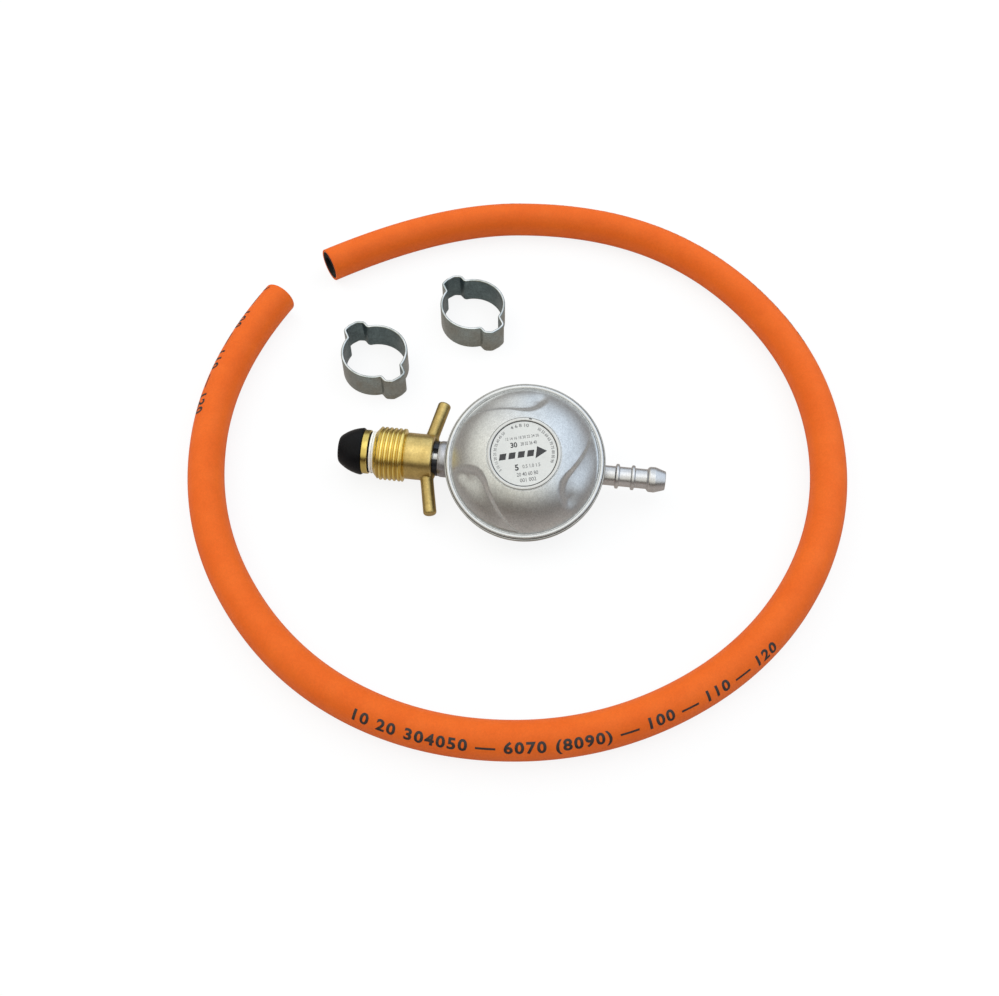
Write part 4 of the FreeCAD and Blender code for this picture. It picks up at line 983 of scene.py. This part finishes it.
class Swirls:
    """How deep the three swirls sink into the dome at any place."""

    def __init__(self):
        self.found = []
        for start in SWIRL_STARTS:
            knots = []
            for angle, radius in SWIRL:
                turn = radians(start + angle)
                knots.append(Vector((*polar(radius, turn), 0)))
            line = through(knots, 22)
            ends = [line[0], *line, line[-1]]
            for i, spot in enumerate(line):
                way = (ends[i + 2] - ends[i]).normalized()
                self.found.append((spot, way, i / (len(line) - 1)))
        self.tree = kdtree.KDTree(len(self.found))
        for i, (spot, _, _) in enumerate(self.found):
            self.tree.insert(spot, i)
        self.tree.balance()

    def depth(self, x, y):
        """The depth at a place, and how far the place is past the swirl's sharp side."""
        _, index, distance = self.tree.find((x, y, 0))
        spot, way, share = self.found[index]
        right = way.y * (x - spot.x) - way.x * (y - spot.y)
        side = distance if right > 0 else -distance
        # The drop narrows along the swirl, which ebbs where its hook nears the dome's edge
        # and at its tail, and past the drop it rises gently again.
        half = 2.1 - 1.05 * smooth_step(0.37, 0.66, share) - 0.65 * smooth_step(0.64, 1.0, share)
        ebb = 1 - 0.88 * smooth_step(24.5, 29.8, hypot(x, y))
        full = ebb + (1 - ebb) * smooth_step(0.40, 0.70, share)
        full *= 1 - 0.72 * smooth_step(0.71, 1.0, share)
        drop = smooth_step(-half, half, side)
        fade = 1 - smooth_step(half + 0.5, half + 9.5, side)
        return SWIRL_DEPTH * full * drop * fade, side - half

    def eased(self, x, y):
        """The depth, smoothed over a circle that grows with the distance from the drop."""
        least, most = 0.1, 2.4
        here, clear = self.depth(x, y)
        reach = min(most, clear / 2)
        if reach < least:
            return here
        total = 2 * here
        for part, count in ((reach, 8), (reach / 2, 4)):
            for turn in around(count):
                total += self.depth(x + part * cos(turn), y + part * sin(turn))[0]
        return total / 14


def make_bonnet():
    """The domed cover with its label ring, inner tube and three swirls."""
    section = rounded([
        (28.3, 9.7), (31.4, 9.7), (31.4, 10.7, 0.1), (30.02, 10.72, 0.05), (29.62, 11.49, 0.1),
        *bow((29.62, 11.49), (14.95, 22.625), DOME_RADIUS, 92),
        (14.95, 22.625, 0.15), (14.85, 22.2, 0.05), (14.6, 22.2, 0.05), (14.6, 23.5, 0.22),
        (13.35, 23.5, 0.2), (13.35, 23.12, 0.02),
        (14.1, 23.12, 0.02), (14.1, 22.6, 0.02), (8.95, 22.6), (8.95, 17.13),
        (10.35, 17.13), (10.35, 20.85), (15.0, 20.85, 0),
        *reversed(bow((28.3, 10.58), (15.0, 20.85), 36.4, 10)), (28.3, 10.58, 0),
    ], 3)
    swirls = Swirls()
    angles = around(480)
    third = len(angles) // 3
    points = []
    for spot, _ in section:
        radius = spot.x
        away = Vector((radius, spot.y - DOME_MIDDLE))
        on_dome = abs(away.length - DOME_RADIUS) < 0.03 and 15.1 < radius < DOME_EDGE
        on_lip = DOME_EDGE <= radius < 29.9 and spot.y > 10.9
        away.normalize()
        row = []
        for a in angles[:third]:
            sunk, at = 0.0, min(radius, DOME_EDGE)
            if on_dome or on_lip:
                sunk = swirls.eased(*polar(at, a))
            low = spot.y - away.y * sunk
            row.append((radius, max(LIP_FLOOR, low)) if on_lip else (radius - away.x * sunk, low))
        for j, a in enumerate(angles):
            r, z = row[j % third]
            points.append(SEAT @ (Vector((*polar(r, a), z)) * MM))
    edges = [worn for _, worn in section for _ in angles]
    faces = tube_faces(len(section), len(angles))
    bonnet = piece("domed_cover", points, faces, "cover_paint", edges, sharp=40)
    # The raised ring's top takes the darker copy of the cover paint: painted shade.
    bonnet.data.materials.append(FINISH["cover_ring_shaded"])
    for face in bonnet.data.polygons:
        local = SEAT.inverted() @ face.center / MM
        if local.z > 22.9 and 13.3 < hypot(local.x, local.y) < 14.62:
            face.material_index = 1
    settle(bonnet, "painted_cover", "bonnet")


def make_rim():
    """The ring that is rolled over both flanges, with a bead on top."""
    bead = turned("rim_bead", [
        (31.43, 9.4, 0.02), (31.95, 9.4, 0.1), (31.8, 11.42, 0.7), (30.5, 11.4, 0.55),
        (30.2, 10.76, 0.05), (31.43, 10.72, 0.02),
    ], "rim_metal", "z", 288)
    side = turned("rim_side", [
        (30.4, 6.4, 0.35), (32.25, 6.4, 0.75), (32.5, 9.6, 0.3), (32.5, 10.35, 0.4),
        (32.02, 10.35, 0.05), (32.02, 9.3, 0.02), (31.43, 9.3, 0.02), (31.43, 7.28, 0.02),
        (30.4, 7.28, 0.05),
    ], "rim_side", "z", 288)
    for one in (bead, side):
        settle(one, "rim", "crimp_rim")


def make_casting():
    """The cast pan with its inlet boss, outlet nozzle, guide tube and lever lugs."""
    pan = turned("casting_pan", [
        (0, -11.0, 0), (3.0, -11.0, 0.9), (28.8, -1.1, 1.6), (28.8, 7.3, 0.5),
        (31.4, 7.3, 0.15), (31.4, 8.9, 0.1), (26.4, 8.9, 0.3), (26.4, 0.55, 1.2),
        (8.0, -6.5, 1.5), (0, -6.5, 0),
    ], "casting_paint", "z", 192)
    boss = turned("inlet_boss", [
        (-35.8, 6.8, 0.15), (-34.3, 6.8, 0.05), (-34.3, 5.25, 0.05), (-25.1, 5.25, 0.05),
        (-25.1, 2.4, 0.05), (-2.9, 2.4, 0.05), (-2.9, 2.55, 0.02), (3.1, 2.55, 0.05),
        (3.1, 2.96, 0.05), (8.5, 2.96, 0.2), (8.5, 4.2, 0.4), (-19.0, 4.2, 0.8),
        (-19.0, 7.45, 0.4), (-34.6, 7.45, 0.6), (-35.8, 7.1, 0.3),
    ], "casting_paint", "x", 112)
    outline = [
        (20.0, 2.6), (57.3, 2.6, 0.25), (57.3, 3.8, 0.4), (53.0, 5.2, 1.9), (50.6, 5.15, 1.1),
        (49.7, 4.05, 0.35),
    ]
    for ridge in (44.1, 37.7):
        outline += [(ridge + 0.85, 4.05, 0.3), (ridge + 0.62, 5.08, 0.5),
                    (ridge - 0.62, 5.08, 0.5), (ridge - 0.85, 4.05, 0.3)]
    outline.append((20.0, 4.05))
    nozzle = turned("outlet_nozzle", outline, "nozzle_metal", "x", 96, rounding=6)
    upright = SEAT @ turn_by(90, "X")
    inside = []
    for side in (1, -1):
        seat = upright @ shift_by(0, 0, side * 4.3)
        inside.append(plate("lug", [
            (9.8, -5.6), (14.2, -4.0), (14.2, 7.6, 1.0), (9.8, 7.6, 1.0),
        ], [(12.0, 6.0, 0.98)], 1.8, "casting_paint", seat))
    inside.append(plate("web", [
        (-15.0, -5.0), (-8.0, -7.4), (7.5, -7.4), (7.5, -3.4), (-15.0, -3.4),
    ], [], 2.4, "casting_paint", upright))
    for one in (pan, boss, nozzle, joined("lever_lugs", inside)):
        settle(one, "painted_casting", "body_casting")


# What is printed on the label: plain figures, marks and a flow arrow; a thin black ring and a
# small black patch among them are painted shadow.

LABEL = SEAT @ shift_by(0, 0, 23.115) @ turn_by(14.0, "Z")
# Words, figure height, width, place of the middle, and how bold, in millimetres.
BOLD_FIGURES = [("30", 2.0, 2.7, -3.5, 3.95, 0.03), ("5", 2.3, 1.5, -3.6, -5.2, 0.03)]
GREY_FIGURES = [
    ("12 14 16 18 20 22 24 26", 1.15, 13.2, 0.2, 6.65, 0.01),
    ("28 32 36 40", 1.3, 6.4, 2.4, 3.95, 0.015),
    ("0.5 1.0 1.5", 1.4, 7.0, 2.2, -5.2, 0.01),
    ("20 40 60 80", 1.5, 8.4, 0.2, -8.2, 0.01),
    ("001 002", 1.5, 6.4, 0.15, -10.6, 0.01),
]
# Words round the label's edge: figure height, width and the angle of the middle.
RIM_FIGURES = [
    ("4 6 8 10", 1.3, 7.4, 91.0), ("5 10 15 20 25 30 35 40 45 50", 1.1, 17.2, 167.0),
    ("50 55 60 65 70 75 80 85 90", 1.15, 16.2, 13.0),
]


def bend_words(mesh, radius, middle):
    """Lay flat words along an arc, their tops outwards; angles in degrees."""
    for v in mesh.vertices:
        angle = radians(middle) - v.co.x / radius
        reach = radius + v.co.y
        v.co = (*polar(reach, angle), 0)


def flat_print(name, meshes, material, seat):
    """Flat meshes that are printed with one ink, facing up."""
    mesh = merged(name, meshes)
    with editing(mesh) as work:
        bmesh.ops.recalc_face_normals(work, faces=work.faces)
        for face in work.faces:
            if face.normal.z < 0:
                face.normal_flip()
    mesh.transform(seat)
    mesh.materials.append(FINISH[material])
    return linked(name, mesh)


def flat_mesh(points, faces):
    """A flat mesh from points in millimetres."""
    return mesh_from("flat", [(x * MM, y * MM, 0) for x, y in points], faces)


def flat_ring(inner, outer):
    points = [polar(radius, a) for a in around(192) for radius in (inner, outer)]
    count = len(points)
    faces = [(j, j + 1, (j + 3) % count, (j + 2) % count) for j in range(0, count, 2)]
    return flat_mesh(points, faces)


def words_at(words, height, width, x, y, bold):
    """Plain figures in millimetres, centred at (x, y) and as wide as asked."""
    mesh = flat_words(words, height * MM, bold)
    left, right = span(mesh)
    mesh.transform(Matrix.Diagonal((width * MM / (right - left), 1, 1, 1)))
    mesh.transform(shift_by(x, y, 0))
    return mesh


def make_label():
    bars = grown("arrow_bars", bar_rule(), "label_ink", LABEL @ shift_by(-8.5, -0.25, 0),
                 spacing=0.0037)
    arrow_head = flat_mesh([(4.2, -2.6), (9.1, -0.2), (5.5, 2.2)], [(0, 1, 2)])
    # The thin black ring from 13.0 to 13.33 mm is painted shadow in the groove inside the label's
    # raised ring.
    bold = [arrow_head, *(words_at(*row) for row in BOLD_FIGURES), flat_ring(13.0, 13.33)]
    bold = flat_print("label_bold_and_groove_shadow", bold, "label_ink", LABEL)
    grey = [words_at(*row) for row in GREY_FIGURES]
    for words, height, width, middle in RIM_FIGURES:
        grey.append(words_at(words, height, width, 0, 0, 0.01))
        bend_words(grey[-1], 11.5 * MM, middle)
    small = flat_print("label_figures", grey, "label_grey_ink", LABEL)
    # Painted shade: a small black patch on the raised ring's top stands for the shade in its pry
    # notch.
    corners = [(13.95, -0.55), (14.4, -0.55), (14.4, 0.55), (13.95, 0.55)]
    notch = flat_print("ring_notch_shadow", [flat_mesh(corners, [(0, 1, 2, 3)])], "label_ink",
                       SEAT @ shift_by(0, 0, 23.51) @ turn_by(85.8, "Z"))
    for one in (notch, bars, bold, small):
        settle(one, "label")


# The inlet: spigot, rubber nose, washer and the nut with its wings.

# The nut's thread and the part of its length whose grooves take painted shade, in metres.
CREST, THREAD_DEPTH = 0.01100, 0.00062
GROOVE_SHADE_FROM, GROOVE_SHADE_TO = -0.0606, -0.0502


def make_inlet():
    brass = turned("spigot_collar", [
        (-76.2, 2.42), (-58.0, 2.42, 0), (-58.0, 5.4, 0), (-64.5, 5.4, 0.05),
        (-64.5, 9.1, 0.4), (-67.2, 9.1, 0.4), (-67.2, 4.4, 0.05), (-76.2, 4.4, 0.4),
    ], "brass_turned", "x", 112)
    neck = turned("spigot_neck", [
        (-58.0, 2.42, 0), (-25.6, 2.42), (-25.6, 5.2, 0.3), (-35.9, 5.2, 0.1),
        (-35.9, 4.5, 0.05), (-37.8, 4.5, 0.05), (-37.8, 5.4, 0.1), (-58.0, 5.4, 0),
    ], "rim_metal", "x", 96)
    nose = turned("rubber_nose", [
        (-77.3, 2.42, 0.3), (-76.2, 2.42, 0.02), (-76.2, 3.95, 0.02), (-75.7, 4.45, 0.02),
        (-67.2, 4.45, 0.02), (-67.2, 9.45, 0.3), (-67.8, 9.75, 0.5),
        *bow((-67.8, 9.75), (-76.75, 5.75), 17.0, 20), (-76.75, 5.75, 0.6), (-77.3, 5.0, 0.8),
    ], "nose_rubber", "x", 128)
    washers = joined("nut_washers", [
        turned("washer", [
            (back, 5.46), (front, 5.46), (front, radius, 0.28), (back, radius, 0.28),
        ], "white_plastic", "x", 96)
        for back, front, radius in ((-63.85, -62.95, 8.75), (-62.9, -62.06, 8.6))
    ])
    ring = turned("black_ring", [
        (-64.5, 5.46), (-63.87, 5.46), (-63.87, 8.45, 0.3), (-64.5, 8.45, 0.3),
    ], "nose_rubber", "x", 96)
    settle(brass, "brass_turned", "inlet_spigot")
    settle(neck, "brass_turned", "inlet_spigot")
    settle(nose, "nose_rubber", "nose_seal")
    settle(washers, "white_plastic", "thrust_washer")
    settle(ring, "nose_rubber")


def make_thread():
    """The nut's thread, closed along its bore, with the depth of its groove as a mask of painted
    shade.
    """
    thread = grown("nut_thread", thread_rule(), "brass_thread", NUT_SEAT @ shift_by(-62.0, 0, 0),
                   length=0.0128, pitch=0.00192, depth=THREAD_DEPTH, crest_radius=CREST,
                   hub_radius=0.0093)
    with editing(thread.data) as work:
        bmesh.ops.bridge_loops(work, edges=[e for e in work.edges if e.is_boundary])
    finish_mesh(thread.data, "brass_thread", 50)
    # Painted shade: the deeper a point lies in the groove, the darker the thread there.
    deep = []
    for v in thread.data.vertices:
        local = NUT_SEAT.inverted() @ v.co
        short = CREST - hypot(local.y, local.z)
        within = GROOVE_SHADE_FROM < local.x < GROOVE_SHADE_TO
        deep.append(smooth_step(0.00030, THREAD_DEPTH, short) if within else 0.0)
    mask(thread.data, "groove", deep)
    return thread


def make_wing(side):
    """A round wing that sweeps back, flared at its root and domed at its end."""
    sweep, start, dome = radians(12.5), 7.6, 1.35
    way = Vector((sin(sweep), side * cos(sweep), 0))
    across = Vector((cos(sweep), -side * sin(sweep), 0))
    root, end = Vector((-41.7, 0, 0)), 24.5 / cos(sweep)
    stations = []
    for i in range(30):
        reach = start + (end - dome - start) * i / 29
        radius = 2.66 + 0.06 * (reach - 8.4) / (end - 8.4)
        radius += 0.8 * exp(-max(reach - 8.6, 0.0) / 0.6)
        stations.append((root + way * reach, across, radius, 0.0))
    for i in range(1, 11):
        turn = pi / 2 * i / 10
        stations.append((root + way * (end - dome + dome * sin(turn)), across,
                         2.72 - dome * (1 - cos(turn)), 0.5 * sin(pi * i / 10)))
    circle = [(Vector(polar(1, a)), 0.0) for a in around(48)]
    return swept("wing", stations, circle, "brass_wing", NUT_SEAT)


def make_nut():
    """Tee nut: left-hand thread, plain hub and two wings that sweep back."""
    thread = make_thread()
    hub = turned("nut_hub", [
        (-49.18, 5.5), (-37.88, 5.5, 0.3), (-37.88, 9.6, 0.9), (-49.18, 9.6, 0.35),
    ], "brass_cast", "x", 128, NUT_SEAT)
    wings = joined("nut_wings", [make_wing(1), make_wing(-1)])
    for one in (thread, hub, wings):
        settle(one, "brass_cast", "pol_nut", body="nut")


def make_ear_clips():
    """The two open ear clips that lie on the floor: an oval strip with two ears."""
    facing, high = radians(124.5), 12.5
    ear = [(13.5, -4.85, 1.2), (16.8, -4.75, 1.7), (18.65, -2.3, 2.2), (18.6, 1.4, 5.0),
           (17.7, 4.4, 1.8), (12.95, 5.45, 1.1)]
    first, last = atan2(5.45, 12.95) + 0.07, pi - atan2(4.85, 13.5) - 0.07
    arc = []
    for i in range(1, 40):
        angle = first + (last - first) * i / 40
        across, along = cos(angle + facing) / 13.9, sin(angle + facing) / 14.4
        radius = 1 / hypot(across, along)
        arc.append((*polar(radius, angle), 0))
    outline = ear + arc + [(-x, -y, r) for x, y, r in ear + arc]
    line = [spot for spot, _ in rounded(outline, 7)]
    strip = rounded([(-0.6, 0, 0.5), (0.6, 0, 0.5), (0.6, high, 0.5), (-0.6, high, 0.5)], 7)
    # Painted highlight: the wear mask is full along the middle of the strip's top and bottom
    # faces.
    strip = [(spot, 1 - smooth_step(0.15, 0.45, abs(spot.x))) for spot, _ in strip]
    stations = []
    for i, spot in enumerate(line):
        way = (line[(i + 1) % len(line)] - line[i - 1]).normalized()
        stations.append((Vector((spot.x, spot.y, 0)), Vector((way.y, -way.x, 0)), 1.0, 0.0))
    for number, (x, y) in enumerate(((-62.0, 46.7), (-19.3, 74.0)), start=1):
        seat = shift_by(x, y, 0) @ Matrix.Rotation(facing, 4, "Z")
        clip = swept(f"open_clip_{number}", stations, strip, "zinc", seat, closed=True)
        # The inner face takes the darker copy of the zinc: painted shade inside the clip.
        clip.data.materials.append(FINISH["zinc_shaded_inside"])
        for face in clip.data.polygons:
            if face.index % len(strip) == len(strip) - 1:
                face.material_index = 1
        settle(clip, "clip_zinc", f"ear_clip_{number}")


for make in (make_hose, make_bonnet, make_rim, make_casting, make_label, make_inlet,
             make_nut, make_ear_clips):
    make()


# CAD nodes that keep their shape.

NODE_FINISH = {
    "label_plate": "label_face", "adjuster_plug": "dark_plastic", "main_spring": "steel",
    "diaphragm": "soft_rubber", "diaphragm_plate": "steel", "diaphragm_stem": "brass_turned",
    "stem_washer": "steel", "stem_nut": "brass_turned", "lever": "steel",
    "lever_pin": "steel", "valve_plunger": "brass_turned", "valve_pad": "soft_rubber",
    "inlet_jet": "brass_turned", "inlet_filter": "steel", "nut_clip": "clip_black",
    "sealing_ring": "soft_rubber",
}
for node, name in NODE_FINISH.items():
    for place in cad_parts[node].material_slots:
        place.material = FINISH[name]
